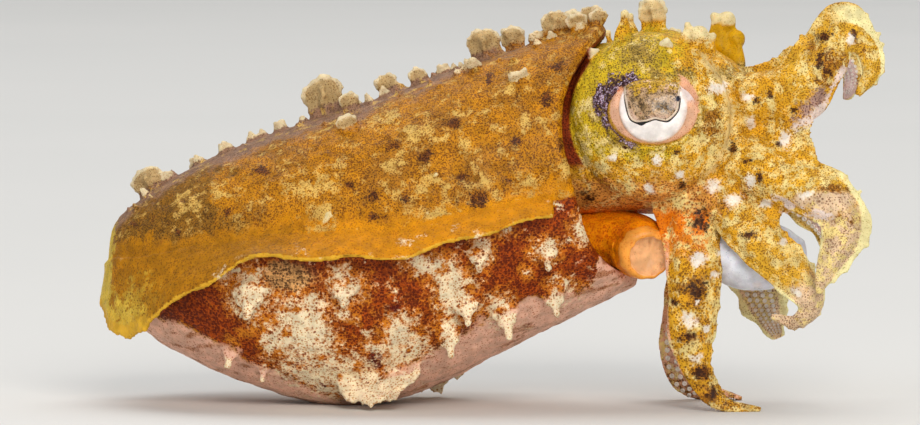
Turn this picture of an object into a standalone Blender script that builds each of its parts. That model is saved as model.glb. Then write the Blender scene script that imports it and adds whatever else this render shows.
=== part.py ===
# A dwarf cuttlefish, life size, walking on its two lowest arms with its belly on the ground.
# It faces +X with its back towards +Z and its right side towards -Y. The ground is z = 0.
# Sizes below are in millimetres and degrees. mesh_object turns them into metres.

import math
import random
from collections import namedtuple

import bmesh
import bpy
import numpy as np

MM = 0.001
GAP = 0.3  # air between neighbouring pieces
EDGE = 0.28  # half thickness of a thin edge
RIGHT, LEFT = -1, 1
SIDE_NAME = {RIGHT: "right", LEFT: "left"}

# Mantle: a bag round a straight axis from the tail to the collar.
TAIL = np.array([-42.1, 0.0, 13.6])
COLLAR = np.array([11.6, 0.0, 26.4])
LENGTH = np.linalg.norm(COLLAR - TAIL)
ALONG = (COLLAR - TAIL) / LENGTH
ABOVE = np.array([-ALONG[2], 0.0, ALONG[0]])
ACROSS = np.array([0.0, 1.0, 0.0])
PITCH = math.degrees(math.asin(ALONG[2]))
# Station along the axis, height of the back over it, depth of the belly under it, half width.
MANTLE_SHAPE = np.array([
    (0.00, 0.0, 0.0, 0.0),
    (0.04, 5.6, 5.8, 5.4),
    (0.12, 8.0, 10.4, 9.4),
    (0.25, 10.3, 15.6, 12.6),
    (0.40, 11.5, 19.7, 14.4),
    (0.55, 12.3, 20.2, 15.0),
    (0.70, 13.1, 18.4, 14.6),
    (0.85, 14.3, 16.2, 13.5),
    (1.00, 15.0, 14.0, 12.2),
])
MANTLE_RINGS, MANTLE_SIDES = 19, 32
LIP_BACK, LIP_SIDE = 4.6, -2.0  # the collar reaches over the neck but stands back at the sides
LIP_BELLY = 3.6  # and is drawn forward again under the funnel
LIP_START = 0.72
LIP_INSIDE = 0.88  # inner edge of the collar as a share of the outer one
CUP_STATION, CUP_SHARE = 0.90, 0.84  # floor of the mantle opening
TAIL_START = 0.02  # the first section's place along the stations of the shape
TAIL_FADE = 0.1

# Papillae: flat lobed crowns along the back, and soft points that hang from the flanks.
# Station, degrees round from the back towards the left, height, width.
BACK_CROWNS = [
    (0.134, 0, 2.7, 4.2), (0.232, 4, 0.9, 1.2), (0.298, -6, 1.0, 1.4), (0.347, 5, 0.9, 1.2),
    (0.413, -5, 1.1, 1.5), (0.512, 0, 4.2, 5.2), (0.566, -14, 2.0, 2.4), (0.640, 0, 2.3, 2.6),
    (0.705, -4, 1.7, 2.0), (0.752, 5, 1.1, 1.5), (0.822, 0, 3.4, 4.4), (0.862, 12, 2.8, 3.0),
    (0.893, -4, 1.2, 1.5), (0.932, 0, 2.8, 4.0), (0.965, -9, 2.0, 2.4),
]
BIG_CROWN = 2.6  # crowns from this height have a second blade across the first
CROWN_THICK = 1.5
CROWN_SINK = 1.0
CROWN_LOBES, CROWN_LOBE_DEPTH = 5, 0.13
CROWN_ARC = 125  # degrees that the lobed edge turns to each side
CROWN_HUB, CROWN_REACH = 0.58, 0.42  # height of the blade's middle, and of its lobes over that
CROWN_ROOT = 0.3  # half width of the root as a share of the width
SECOND_BLADE = (0.9, 0.8)  # height and width as shares of the first blade's
# X and Z of the root on the flank, length, width.
FLANK_POINTS = [
    (-24.6, 13.2, 3.6, 2.2), (-14.2, 13.9, 2.6, 1.8), (-1.3, 12.1, 2.8, 1.8), (0.2, 17.5, 2.6, 1.4),
    (2.9, 10.7, 3.2, 1.6), (7.3, 17.4, 2.0, 1.3), (8.0, 12.9, 2.8, 1.6), (-3.4, 8.6, 3.0, 1.7),
    (-33.0, 21.4, 1.8, 1.8), (-21.5, 24.4, 1.6, 1.8), (-6.0, 29.5, 1.4, 1.6), (-12.0, 25.0, 1.4, 1.5),
]
FLANK_DROOP = 0.9
POINT_SINK, POINT_WAIST, POINT_FLATNESS = 0.8, 0.55, 0.6
POINT_RADII = (0.5, 0.42, 0.12)  # shares of the width at root, waist and tip
FLANK_STAGGER = 1.2  # the left flank's points are this far from being a mirror of the right's

# Fins: thin flaps along the widest line of the mantle.
# Station, rise of the root over the axis, width, droop, and sweep to the rear.
FIN_SHAPE = np.array([
    (0.012, 1.6, 3.6, 60.0, 64.0),
    (0.050, 2.0, 7.8, 66.0, 44.0),
    (0.120, 1.4, 7.4, 60.0, 22.0),
    (0.220, 0.8, 5.4, 38.0, 6.0),
    (0.340, 0.4, 4.4, 18.0, 0.0),
    (0.500, -0.6, 4.2, 33.0, 0.0),
    (0.620, -1.8, 4.2, 36.0, 0.0),
    (0.780, -1.8, 3.8, 34.0, 0.0),
    (0.960, -2.4, 2.8, 30.0, 0.0),
])
FIN_STEPS = 30
FIN_COLUMNS = np.array([0.35, 0.6, 0.8, 1.0])
FIN_ROOT = 0.5  # half thickness at the root
FIN_WAVES, FIN_WAVE_TILT, FIN_WAVE_WIDTH = 5.5, 9.0, 0.06
FIN_MIDLINE = 0.25  # the fins keep this far from the middle of the tail

# Ventral flaps: two lobed skirts under the belly on which the animal leans.
FLAP_FRONT = {RIGHT: 0.59, LEFT: 0.68}
FLAP_SPAN = 0.17
FLAP_ANGLE, FLAP_ROOT_ANGLE = 148.0, 3.0
FLAP_OUT = {RIGHT: (0.1, 0.8, -0.6), LEFT: (0.1, 0.45, -0.9)}
FLAP_WIDTH, FLAP_LOBES = 4.4, 3.5
FLAP_STEPS, FLAP_LOBE_DEPTH, FLAP_END = 12, 0.16, 0.06
FLAP_THICK = EDGE * np.array([2.0, 1.6, 1.3, 1.0])

# Head: a rounded block from the neck to the crown of arms.
# X and Z of the middle, half height, half width, pitch.
NECK_RISE, NECK_HALF = 3.0, (7.5, 8.4)
HEAD_SHAPE = np.array([
    (12.0, 29.7, 8.8, 9.4, 8.0),
    (17.8, 31.0, 10.0, 10.2, 0.0),
    (23.0, 30.0, 9.6, 9.8, -7.0),
    (27.0, 28.6, 8.0, 8.4, -12.0),
    (28.8, 28.1, 4.6, 5.0, -12.0),
])
HEAD_RINGS, HEAD_SIDES = 11, 24
BULGE, BULGE_SIZE = np.array([18.4, 6.8, 31.9]), np.array([9.0, 6.0, 9.2])
EYE, EYE_SIZE = np.array([18.9, 9.3, 32.6]), np.array([5.9, 4.2, 4.7])
# The pupil, forward and up from the middle of the eye: a U with a peak in its floor.
PUPIL = np.array([
    (-3.1, 1.9), (-3.0, 0.3), (-2.4, -0.9), (-1.2, -1.6), (0.0, -1.1),
    (1.2, -1.6), (2.3, -0.9), (2.9, 0.3), (2.8, 1.9),
])
PUPIL_HALF, PUPIL_DEPTH, PUPIL_REACH = 0.28, 0.5, 3.0
LID_SIZE, LID_HALF, LID_STEPS, LID_SIDES = (5.3, 4.0), 0.6, 18, 5

# Crowns on the eye bulges: side, way out from the middle of the bulge, height, width.
HEAD_CROWNS = [
    (RIGHT, (-0.30, 0.10, 1.0), 2.4, 2.0), (RIGHT, (0.55, 0.15, 1.0), 1.8, 2.4),
    (LEFT, (-0.05, 0.05, 1.0), 3.4, 3.4), (LEFT, (0.80, 0.00, 1.0), 4.6, 4.4),
]

# Funnel: a bent tube under the head whose mouth faces the right side.
FUNNEL_DROP = 8.0
FUNNEL_PATH = np.array([(11.6, 0.6, 17.9), (15.4, 2.4, 18.0), (17.5, 4.8, 17.4), (18.3, 7.3, 16.8)])
FUNNEL_RADII = np.array([2.6, 2.7, 2.8, 2.7, 2.25])
FUNNEL_MOUTH, FUNNEL_FLOOR, FUNNEL_DEPTH = 1.85, 1.6, 1.3
FUNNEL_RINGS, FUNNEL_SIDES = 8, 14

# Mouth: a soft cone in the middle of the arms. Forward from the front of the head, and radius.
MOUTH_PROFILE = np.array([(0.0, 3.3), (1.0, 3.3), (1.9, 2.7), (2.4, 1.9), (2.2, 1.35), (1.6, 1.2)])
MOUTH_SIDES = 16

# Tentacles: the two feeding arms, drawn in, show as white stumps.
TENTACLE_PATH = {
    LEFT: np.array([(23.4, 2.9, 23.2), (26.2, 3.2, 20.4), (29.2, 3.4, 18.0), (32.3, 3.4, 16.6),
                    (35.0, 3.2, 16.0)]),
    RIGHT: np.array([(23.4, 2.9, 23.2), (26.2, 3.2, 20.2), (28.3, 4.5, 17.3), (30.9, 4.5, 16.0),
                     (33.6, 4.0, 15.5)]),
}
TENTACLE_RADII = {LEFT: np.array([2.4, 2.7, 2.8, 2.7, 1.7]), RIGHT: np.array([2.4, 2.6, 3.1, 2.8, 1.8])}
TENTACLE_STUB = 4.6
TENTACLE_RINGS, TENTACLE_SIDES = 5, 12

# Arms, as on the left side. The way the outer face looks, the half width, and the reach of the
# skin flap on the upper and lower edge are given at equal steps from root to tip.
Arm = namedtuple("Arm", "path outward width upper lower")
ARMS = {
    ("arm_1", RIGHT): Arm(
        path=[(24.5, 3.7, 33.8), (30.6, 5.4, 34.2), (34.7, 6.4, 36.2), (37.0, 6.7, 39.2),
              (39.4, 6.5, 41.0), (41.3, 6.1, 39.4), (41.3, 5.7, 35.6)],
        outward=[(0.1, 1, 0.35), (0.1, 1, 0.1), (0.3, 1, 0.1)],
        width=[3.2, 3.1, 2.5, 1.4, 0.4], upper=[0.3, 0.6, 1.6, 2.2, 0.1],
        lower=[0.2, 1.4, 1.2, 0.0, 0.0]),
    ("arm_1", LEFT): Arm(
        path=[(24.5, 3.7, 33.8), (29.6, 5.4, 33.9), (33.2, 6.4, 34.9), (36.0, 6.6, 37.0),
              (38.4, 6.3, 37.8), (39.8, 5.9, 36.2), (39.2, 5.7, 33.4)],
        outward=[(0.1, 1, 0.35), (0.1, 1, 0.1), (0.3, 1, 0.1)],
        width=[3.2, 3.0, 2.3, 1.4, 0.4], upper=[0.3, 0.6, 1.2, 1.4, 0.1],
        lower=[0.2, 1.1, 0.5, 0.0, 0.0]),
    ("arm_2", RIGHT): Arm(
        path=[(25.0, 6.0, 29.2), (31.0, 8.7, 26.2), (35.6, 10.2, 24.3), (38.8, 11.0, 22.2),
              (39.3, 11.3, 19.0), (37.9, 11.4, 16.0), (36.9, 11.3, 13.0)],
        outward=[(0.3, 1, 0.1), (0.2, 1, 0.1), (0.5, 0.9, 0.0)],
        width=[2.7, 2.5, 1.8, 0.4], upper=[0.2, 0.8, 1.2, 0.1], lower=[0.1, 0.4, 0.4, 0.0]),
    ("arm_2", LEFT): Arm(
        path=[(25.0, 6.0, 29.2), (30.2, 8.5, 25.8), (34.0, 9.6, 22.6), (36.9, 9.8, 19.6),
              (38.0, 9.6, 16.4), (37.4, 9.4, 13.8)],
        outward=[(0.3, 1, 0.1), (0.2, 1, 0.1), (0.5, 0.9, 0.0)],
        width=[2.7, 2.4, 1.6, 0.4], upper=[0.2, 0.8, 1.1, 0.1], lower=[0.1, 0.4, 0.4, 0.0]),
    ("arm_3", RIGHT): Arm(
        path=[(24.5, 6.4, 25.4), (28.4, 8.8, 20.8), (31.6, 9.2, 17.4), (34.6, 9.1, 14.4),
              (36.0, 8.7, 11.6), (34.3, 8.2, 9.8), (31.6, 7.8, 10.4)],
        outward=[(0.3, 1, -0.1), (0.35, 1, 0.1), (0.6, 0.8, -0.3)],
        width=[2.6, 2.4, 1.8, 1.0, 0.35], upper=[0.1, 0.4, 0.6, 0.1, 0.0],
        lower=[0.1, 0.4, 0.6, 0.1, 0.0]),
    ("arm_3", LEFT): Arm(
        path=[(24.0, 6.2, 24.6), (27.2, 8.2, 18.6), (28.9, 8.7, 14.0), (30.3, 8.7, 10.2),
              (31.8, 8.3, 6.9)],
        outward=[(0.3, 1, -0.1), (0.2, 1, 0.0), (0.3, 0.9, 0.0)],
        width=[2.5, 2.2, 1.8, 0.5], upper=[0.1, 0.4, 1.1, 0.3], lower=[0.1, 0.4, 1.1, 0.3]),
    ("arm_4", RIGHT): Arm(
        path=[(21.8, 5.0, 25.0), (23.4, 7.6, 19.0), (23.2, 8.6, 12.8), (23.0, 8.7, 8.0),
              (23.9, 8.7, 3.8), (26.5, 8.6, 0.8), (30.6, 8.4, 0.2)],
        outward=[(0.0, 1, -0.1), (0.15, 1, 0.1), (-0.2, 0.2, 1.0)],
        width=[2.6, 2.75, 2.7, 2.15, 1.4, 1.15, 0.45], upper=[0.1, 0.2, 0.3, 0.3, 0.2, 0.1, 0.0],
        lower=[0.1, 0.2, 0.3, 0.3, 0.2, 0.1, 0.0]),
    ("arm_4", LEFT): Arm(
        path=[(21.4, 4.8, 24.4), (22.4, 7.0, 17.6), (21.7, 7.6, 11.4), (21.0, 7.7, 6.0),
              (21.6, 7.7, 2.8), (24.2, 7.6, 0.8), (27.8, 7.4, 0.2)],
        outward=[(0.0, 1, -0.1), (0.1, 1, 0.1), (-0.2, 0.2, 1.0)],
        width=[2.6, 2.4, 2.2, 1.8, 0.5], upper=[0.1, 0.3, 0.3, 0.1, 0.0],
        lower=[0.1, 0.3, 0.3, 0.1, 0.0]),
}
ARM_THICKNESS = 0.74  # half thickness as a share of the half width
# The section of an arm between its edges, upper edge first: place across as a share of the half
# width, place outward as a share of the half thickness.
ARM_OUTER = [(0.75, 0.6), (0.35, 0.95), (-0.35, 0.95), (-0.75, 0.6)]
ARM_INNER = [(-0.8, -0.5), (-0.3, -0.6), (0.3, -0.6), (0.8, -0.5)]
ARM_EDGE = 0.55  # an edge is no thicker than this share of the half thickness
ARM_STUB = 6.5  # root of an arm that belongs to the head
ARM_SPLIT = 0.44  # share of the free arm that is its base
STUB_RINGS, BASE_RINGS, TIP_RINGS = 4, 6, 9
LIMB_STEPS = 400
# Suckers in two staggered rows on the inner face of each arm.
BASE_SUCKERS, TIP_SUCKERS = 5, 6
SUCKER_ROW = 0.36  # distance of a row from the middle as a share of the half width
SUCKER_RADIUS, SUCKER_SHARE = 0.6, 0.3  # largest radius, and as a share of the half width
SUCKER_MARGIN = 1.1  # none grows nearer to a cut
SUCKER_HEIGHT, SUCKER_HOLLOW, SUCKER_WAIST = 0.4, 0.16, 0.7
SUCKER_FACE, SUCKER_SINK = 0.58, 0.4  # depth of the inner face and of a root in half thicknesses
SUCKER_FLOOR = 1.2  # none grows lower than this over the ground

COLOURS = {
    "back_skin": (0.56, 0.33, 0.06),
    "head_skin": (0.60, 0.42, 0.10),
    "fin_skin": (0.78, 0.45, 0.03),
    "flap_skin": (0.78, 0.66, 0.42),
    "funnel_skin": (0.80, 0.28, 0.03),
    "eye": (0.82, 0.76, 0.72),
    "white_flesh": (0.80, 0.76, 0.74),
}
ROUGHNESS = 0.38

rng = random.Random(7)


def clear_scene():
    for obj in list(bpy.data.objects):
        bpy.data.objects.remove(obj)


def material(name):
    """The finish of one kind of flesh, made once."""
    found = bpy.data.materials.get(name)
    if found:
        return found
    made = bpy.data.materials.new(name)
    made.use_nodes = True
    shader = made.node_tree.nodes["Principled BSDF"]
    shader.inputs["Base Color"].default_value = (*COLOURS[name], 1.0)
    shader.inputs["Roughness"].default_value = ROUGHNESS
    shader.inputs["Metallic"].default_value = 0.0
    made.diffuse_color = (*COLOURS[name], 1.0)
    return made


def unit(v):
    v = np.asarray(v, float)
    return v / np.linalg.norm(v, axis=-1, keepdims=True)


def circle(count):
    return np.arange(count) * 2 * np.pi / count


def spline(knots, at):
    """Values on a smooth curve through the knots, at places from 0 to 1 along them."""
    k = np.asarray(knots, float)
    padded = np.vstack([2 * k[0] - k[1], k, 2 * k[-1] - k[-2]])
    place = np.clip(np.asarray(at, float), 0, 1) * (len(k) - 1)
    i = np.minimum(place.astype(int), len(k) - 2)
    f = (place - i)[:, None]
    a, b, c, d = (padded[i + n] for n in range(4))
    return b + 0.5 * f * (c - a + f * (2 * a - 5 * b + 4 * c - d + f * (3 * b - a - 3 * c + d)))


def table(shape, at):
    """The later columns of a table, read on a smooth curve at places in its first column."""
    fine = spline(shape, np.linspace(0, 1, 40 * len(shape)))
    return np.stack([np.interp(at, fine[:, 0], column) for column in fine.T[1:]], axis=-1)


def to_side(points, side):
    """Points made for the left, moved to the given side."""
    return np.asarray(points) * (1, side, 1)


def mesh_object(name, points, faces, finish=None):
    """A mesh object from points in millimetres, its faces turned to point out."""
    points, faces = np.asarray(points, float) * MM, np.asarray(faces, int)
    corners = points[faces]
    if np.einsum("ij,ij->i", corners[:, 0], np.cross(corners[:, 1], corners[:, 2])).sum() < 0:
        faces = faces[:, ::-1]
    mesh = bpy.data.meshes.new(name)
    mesh.from_pydata(points.tolist(), [], faces.tolist())
    if finish:
        mesh.materials.append(material(finish))
    obj = bpy.data.objects.new(name, mesh)
    bpy.context.scene.collection.objects.link(obj)
    return obj


def loft(name, rings, finish=None, turn=None, tip=None):
    """A closed body through rings of points, with a fan at both ends.

    Quads past number turn are split the other way. The tip is the middle of the last fan.
    """
    rings = np.asarray(rings, float)
    count, sides = rings.shape[:2]
    turn = sides if turn is None else turn
    first, last, top = count * sides, count * sides + 1, (count - 1) * sides
    tip = rings[-1].mean(0) if tip is None else tip
    points = np.vstack([rings.reshape(-1, 3), rings[0].mean(0), tip])
    faces = []
    for j in range(sides):
        k = (j + 1) % sides
        faces += [(first, k, j), (last, top + j, top + k)]
        for i in range(count - 1):
            a, b, c, d = i * sides + j, i * sides + k, (i + 1) * sides + j, (i + 1) * sides + k
            faces += [(a, b, d), (a, d, c)] if j < turn else [(a, b, c), (b, d, c)]
    return mesh_object(name, points, faces, finish)


def ellipsoid(name, centre, radii, finish=None, detail=3):
    shape = bmesh.new()
    bmesh.ops.create_icosphere(shape, subdivisions=detail, radius=1)
    points = np.array([tuple(v.co) for v in shape.verts]) * radii + centre
    faces = [[v.index for v in f.verts] for f in shape.faces]
    shape.free()
    return mesh_object(name, points, faces, finish)


def boolean(obj, others, operation):
    """Joins or cuts an object with other closed meshes, then removes those."""
    group = bpy.data.collections.new("tools")
    bpy.context.scene.collection.children.link(group)
    for other in others:
        bpy.context.scene.collection.objects.unlink(other)
        group.objects.link(other)
    modifier = obj.modifiers.new("boolean", "BOOLEAN")
    modifier.operation = operation
    modifier.operand_type = "COLLECTION"
    modifier.collection = group
    result = bpy.data.meshes.new_from_object(obj.evaluated_get(bpy.context.evaluated_depsgraph_get()))
    obj.modifiers.clear()
    obj.data = result
    for other in others:
        bpy.data.objects.remove(other)
    bpy.data.collections.remove(group)
    keep_largest(obj)
    return obj


def keep_largest(obj):
    """Leaves only the closed surface that holds the most."""
    shape = bmesh.new()
    shape.from_mesh(obj.data)
    bmesh.ops.triangulate(shape, faces=shape.faces)
    bmesh.ops.remove_doubles(shape, verts=shape.verts, dist=0.001 * MM)
    shells, seen = [], set()
    for start in shape.faces:
        if start in seen:
            continue
        seen.add(start)
        shell, queue = [], [start]
        while queue:
            face = queue.pop()
            shell.append(face)
            fresh = {f for edge in face.edges for f in edge.link_faces} - seen
            seen |= fresh
            queue.extend(fresh)
        shells.append(shell)
    shells.sort(key=shell_volume)
    for shell in shells[:-1]:
        bmesh.ops.delete(shape, geom=shell, context="FACES")
    bmesh.ops.delete(shape, geom=[v for v in shape.verts if not v.link_faces], context="VERTS")
    shape.to_mesh(obj.data)
    shape.free()


def shell_volume(shell):
    return sum(f.verts[0].co.dot(f.verts[1].co.cross(f.verts[2].co)) for f in shell)


def crown(base, out, across, height, width):
    """A flattened papilla: a narrow root that opens into a lobed blade, thin at its edge."""
    out, across = unit(out), unit(across)
    normal = np.cross(out, across)
    turn = np.radians(np.linspace(-CROWN_ARC, CROWN_ARC, 2 * CROWN_LOBES + 1))
    depth = CROWN_LOBE_DEPTH * rng.uniform(0.8, 1.2)
    wave = 1 + depth * np.cos(np.arange(2 * CROWN_LOBES + 1) * np.pi)
    middle, root = CROWN_HUB * height, CROWN_ROOT * width
    up = middle + CROWN_REACH * height * np.cos(turn) * wave
    up = np.concatenate([[-CROWN_SINK], up, [-CROWN_SINK]])
    side = np.concatenate([[-root], 0.5 * width * np.sin(turn) * wave, [root]])
    outline = base + up[:, None] * out + side[:, None] * across
    outline = np.vstack([outline, base - CROWN_SINK * out])
    half = np.full(len(outline), EDGE)
    half[-1] = 0.4 * CROWN_THICK
    hub = base + middle * out
    count = len(outline)
    points = np.vstack([outline + half[:, None] * normal, outline - half[:, None] * normal,
                        hub + 0.5 * CROWN_THICK * normal, hub - 0.5 * CROWN_THICK * normal])
    faces = []
    for i in range(count):
        j = (i + 1) % count
        faces += [(2 * count, i, j), (2 * count + 1, count + j, count + i)]
        faces += [(i, count + i, j), (j, count + i, count + j)]
    return mesh_object("crown", points, faces)


def crowns(base, out, across, height, width):
    """One blade, and for a big papilla a second one that crosses it."""
    blades = [crown(base, out, across, height, width)]
    if height >= BIG_CROWN:
        tall, wide = SECOND_BLADE
        blades.append(crown(base, out, np.cross(unit(out), unit(across)), tall * height, wide * width))
    return blades


def soft_point(base, out, across, length, width):
    """A papilla that tapers from a flattened root to a blunt tip."""
    out = unit(out)
    across = unit(across - np.dot(across, out) * out)
    normal = np.cross(out, across)
    turn = circle(5)[:, None]
    section = np.cos(turn) * across + POINT_FLATNESS * np.sin(turn) * normal
    reach = (-POINT_SINK, POINT_WAIST * length, length)
    rings = [base + r * out + width * size * section for r, size in zip(reach, POINT_RADII)]
    return loft("point", rings)


def sucker(base, out, across, radius, sink):
    """A small cup on a short stalk."""
    turn = circle(5)[:, None]
    section = np.cos(turn) * across + np.sin(turn) * np.cross(out, across)
    root = base - sink * out + SUCKER_WAIST * radius * section
    rim = base + SUCKER_HEIGHT * out + radius * section
    return loft("sucker", [root, rim], tip=base + SUCKER_HOLLOW * out)


def ground():
    """The block under the animal that trims its resting faces flat."""
    corners = np.array([(x, y, z) for x in (-60, 60) for y in (-40, 40) for z in (-20, 0)], float)
    sides = [(0, 1, 3, 2), (4, 6, 7, 5), (0, 4, 5, 1), (2, 3, 7, 6), (0, 2, 6, 4), (1, 5, 7, 3)]
    faces = [f for a, b, c, d in sides for f in ((a, b, c), (a, c, d))]
    return mesh_object("ground", corners, faces)


def mantle_point(station, angle, grow=0.0, share=1.0, lip=1.0):
    """Points on the mantle at stations along its axis and angles round it from the back."""
    station, angle = np.broadcast_arrays(np.asarray(station, float), np.asarray(angle, float))
    back, belly, half = np.moveaxis(table(MANTLE_SHAPE, station), -1, 0)
    up, across = np.cos(angle), np.sin(angle)
    ease = np.clip((station - LIP_START) / (1 - LIP_START), 0, 1)
    reach = LIP_SIDE + (LIP_BACK - LIP_SIDE) * np.maximum(up, 0) ** 3 + LIP_BELLY * np.maximum(-up, 0) ** 5
    reach = reach * ease**2 * (3 - 2 * ease)
    forward = station * LENGTH + lip * reach - grow * np.clip(1 - station / TAIL_FADE, 0, 1)
    height = (np.where(up > 0, back, belly) * share + grow) * up
    offset = (half * share + grow) * across
    return TAIL + forward[..., None] * ALONG + height[..., None] * ABOVE + offset[..., None] * ACROSS


def mantle_rings(grow=0.0):
    stations = spline(MANTLE_SHAPE[:, :1], np.linspace(TAIL_START, 1, MANTLE_RINGS))
    return mantle_point(stations, circle(MANTLE_SIDES)[None, :], grow)


def mantle_frame(station, angle):
    """A point of the mantle with its outward and forward directions."""
    step = 0.01
    forward = mantle_point(station + step, angle) - mantle_point(station - step, angle)
    round_by = mantle_point(station, angle + step) - mantle_point(station, angle - step)
    return mantle_point(station, angle), unit(np.cross(forward, round_by)), unit(forward)


def flank_spot(x, z):
    """Station and angle of the place on the left flank at the given x and z."""
    stations, angles = np.linspace(0.03, 0.97, 150), np.radians(np.arange(5, 176))
    station, angle = np.meshgrid(stations, angles, indexing="ij")
    points = mantle_point(station, angle)
    nearest = np.argmin((points[..., 0] - x) ** 2 + (points[..., 2] - z) ** 2)
    return station.flat[nearest], angle.flat[nearest]


def mantle_papillae():
    """Crowns along the back, and soft points on both flanks."""
    parts = []
    for station, turn, height, width in BACK_CROWNS:
        base, out, forward = mantle_frame(station, math.radians(turn))
        parts += crowns(base, out, forward, height, width)
    for side in (RIGHT, LEFT):
        for x, z, length, width in FLANK_POINTS:
            stagger = FLANK_STAGGER * rng.uniform(-1, 1) if side == LEFT else 0
            base, out, forward = mantle_frame(*flank_spot(x + stagger, z))
            hang = unit(out + (0, 0, -FLANK_DROOP))
            ends = (to_side(v, side) for v in (base, hang, forward))
            parts.append(soft_point(*ends, length, width))
    return parts


def mantle():
    """The bag of the body, with the opening that the neck and funnel come out of."""
    angles = circle(MANTLE_SIDES)
    lip = mantle_point(1, angles, share=LIP_INSIDE)
    floor = mantle_point(CUP_STATION, angles, share=CUP_SHARE, lip=0)
    rings = np.concatenate([mantle_rings(), lip[None], floor[None]])
    body = loft("mantle", rings, "back_skin")
    boolean(body, mantle_papillae(), "UNION")
    return boolean(body, [ground()], "DIFFERENCE")


def cup_point(rise):
    """A place just off the floor of the mantle opening."""
    return TAIL + (CUP_STATION * LENGTH + GAP) * ALONG + rise * ABOVE


def fin(side):
    """A wavy flap from the tail to the collar, thin at its edge, its root along the mantle."""
    station = spline(FIN_SHAPE[:, :1], np.linspace(0, 1, FIN_STEPS))[:, 0]
    rise, width, droop, sweep = table(FIN_SHAPE, station).T
    back, belly, _ = table(MANTLE_SHAPE, station).T
    wave = np.sin(2 * np.pi * FIN_WAVES * station + side)
    droop, sweep = np.radians(droop + FIN_WAVE_TILT * wave), np.radians(sweep)
    level = np.cos(sweep)[:, None] * ACROSS - np.sin(sweep)[:, None] * ALONG
    out = np.cos(droop)[:, None] * level - np.sin(droop)[:, None] * ABOVE
    radius = np.where(rise > 0, back, belly)
    angle = np.arccos(np.clip(rise / radius, -1, 1))
    root = mantle_point(station, angle, GAP)
    half = np.minimum(FIN_ROOT / radius, 0.2)
    top, bottom = (mantle_point(station, angle + turn, GAP) for turn in (-half, half))
    normal = unit(np.cross(np.gradient(root, axis=0), out))
    reach = FIN_COLUMNS * (width * (1 + FIN_WAVE_WIDTH * wave))[:, None]
    middle = root[:, None] + reach[..., None] * out[:, None]
    thick = (FIN_ROOT + (EDGE - FIN_ROOT) * FIN_COLUMNS)[None, :, None] * normal[:, None]
    rings = np.concatenate([top[:, None], middle + thick, (middle - thick)[:, ::-1], bottom[:, None]], axis=1)
    rings[..., 1] = np.maximum(rings[..., 1], FIN_MIDLINE)
    return loft(f"fin_{SIDE_NAME[side]}", to_side(rings, side), "fin_skin", len(FIN_COLUMNS) + 1)


def flap(side):
    """A lobed skirt of skin that reaches from the belly out to the ground."""
    share = np.linspace(0, 1, FLAP_STEPS)
    station = FLAP_FRONT[side] - FLAP_SPAN * share
    angle, half = math.radians(FLAP_ANGLE), math.radians(FLAP_ROOT_ANGLE)
    top, root, bottom = (mantle_point(station, angle + turn, GAP) for turn in (-half, 0, half))
    swell = np.sin(np.pi * (FLAP_END + (1 - 2 * FLAP_END) * share)) ** 0.6
    lobes = 1 + FLAP_LOBE_DEPTH * np.cos(2 * np.pi * FLAP_LOBES * share + side)
    width = FLAP_WIDTH * swell * lobes
    out = unit(FLAP_OUT[side])
    middle = root[:, None] + (FIN_COLUMNS * width[:, None])[..., None] * out
    thick = FLAP_THICK[:, None] * unit((0.0, -out[2], out[1]))
    rings = np.concatenate([top[:, None], middle + thick, (middle - thick)[:, ::-1], bottom[:, None]], axis=1)
    rings[..., 2] = np.maximum(rings[..., 2], 0)
    return loft(f"ventral_flap_{SIDE_NAME[side]}", to_side(rings, side), "flap_skin", len(FIN_COLUMNS) + 1)


def head_rings():
    """Sections of the head, the first facing the floor of the mantle opening."""
    neck = cup_point(NECK_RISE)
    shape = np.vstack([(neck[0], neck[2], *NECK_HALF, PITCH), HEAD_SHAPE])
    x, z, half_height, half_width, pitch = spline(shape, np.linspace(0, 1, HEAD_RINGS)).T
    pitch = np.radians(pitch)
    up = np.stack([-np.sin(pitch), 0 * pitch, np.cos(pitch)], axis=-1)
    turn = circle(HEAD_SIDES)[None, :, None]
    middle = np.stack([x, 0 * x, z], axis=-1)
    rise = np.cos(turn) * (half_height[:, None] * up)[:, None]
    return middle[:, None] + rise + np.sin(turn) * half_width[:, None, None] * ACROSS


def on_bulge(x, z):
    """A point of the left eye bulge over the given x and z."""
    u, v = (x - BULGE[0]) / BULGE_SIZE[0], (z - BULGE[2]) / BULGE_SIZE[2]
    y = BULGE[1] + BULGE_SIZE[1] * np.sqrt(np.maximum(1 - u**2 - v**2, 0))
    return np.stack([x, y, z], axis=-1)


def lid(side):
    """The fold of skin round an eye."""
    turn = circle(LID_STEPS)
    x, z = EYE[0] + LID_SIZE[0] * np.cos(turn), EYE[2] + LID_SIZE[1] * np.sin(turn)
    inward = unit(np.stack([x - EYE[0], 0 * x, z - EYE[2]], axis=-1))
    section = circle(LID_SIDES)[None, :, None]
    spread = np.cos(section) * inward[:, None] + np.sin(section) * ACROSS
    points = to_side(on_bulge(x, z)[:, None] + LID_HALF * spread, side).reshape(-1, 3)
    faces = []
    for i in range(LID_STEPS):
        for j in range(LID_SIDES):
            a, b = i * LID_SIDES + j, i * LID_SIDES + (j + 1) % LID_SIDES
            c, d = (a + LID_SIDES) % len(points), (b + LID_SIDES) % len(points)
            faces += [(a, b, d), (a, d, c)]
    return mesh_object("lid", points, faces)


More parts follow.
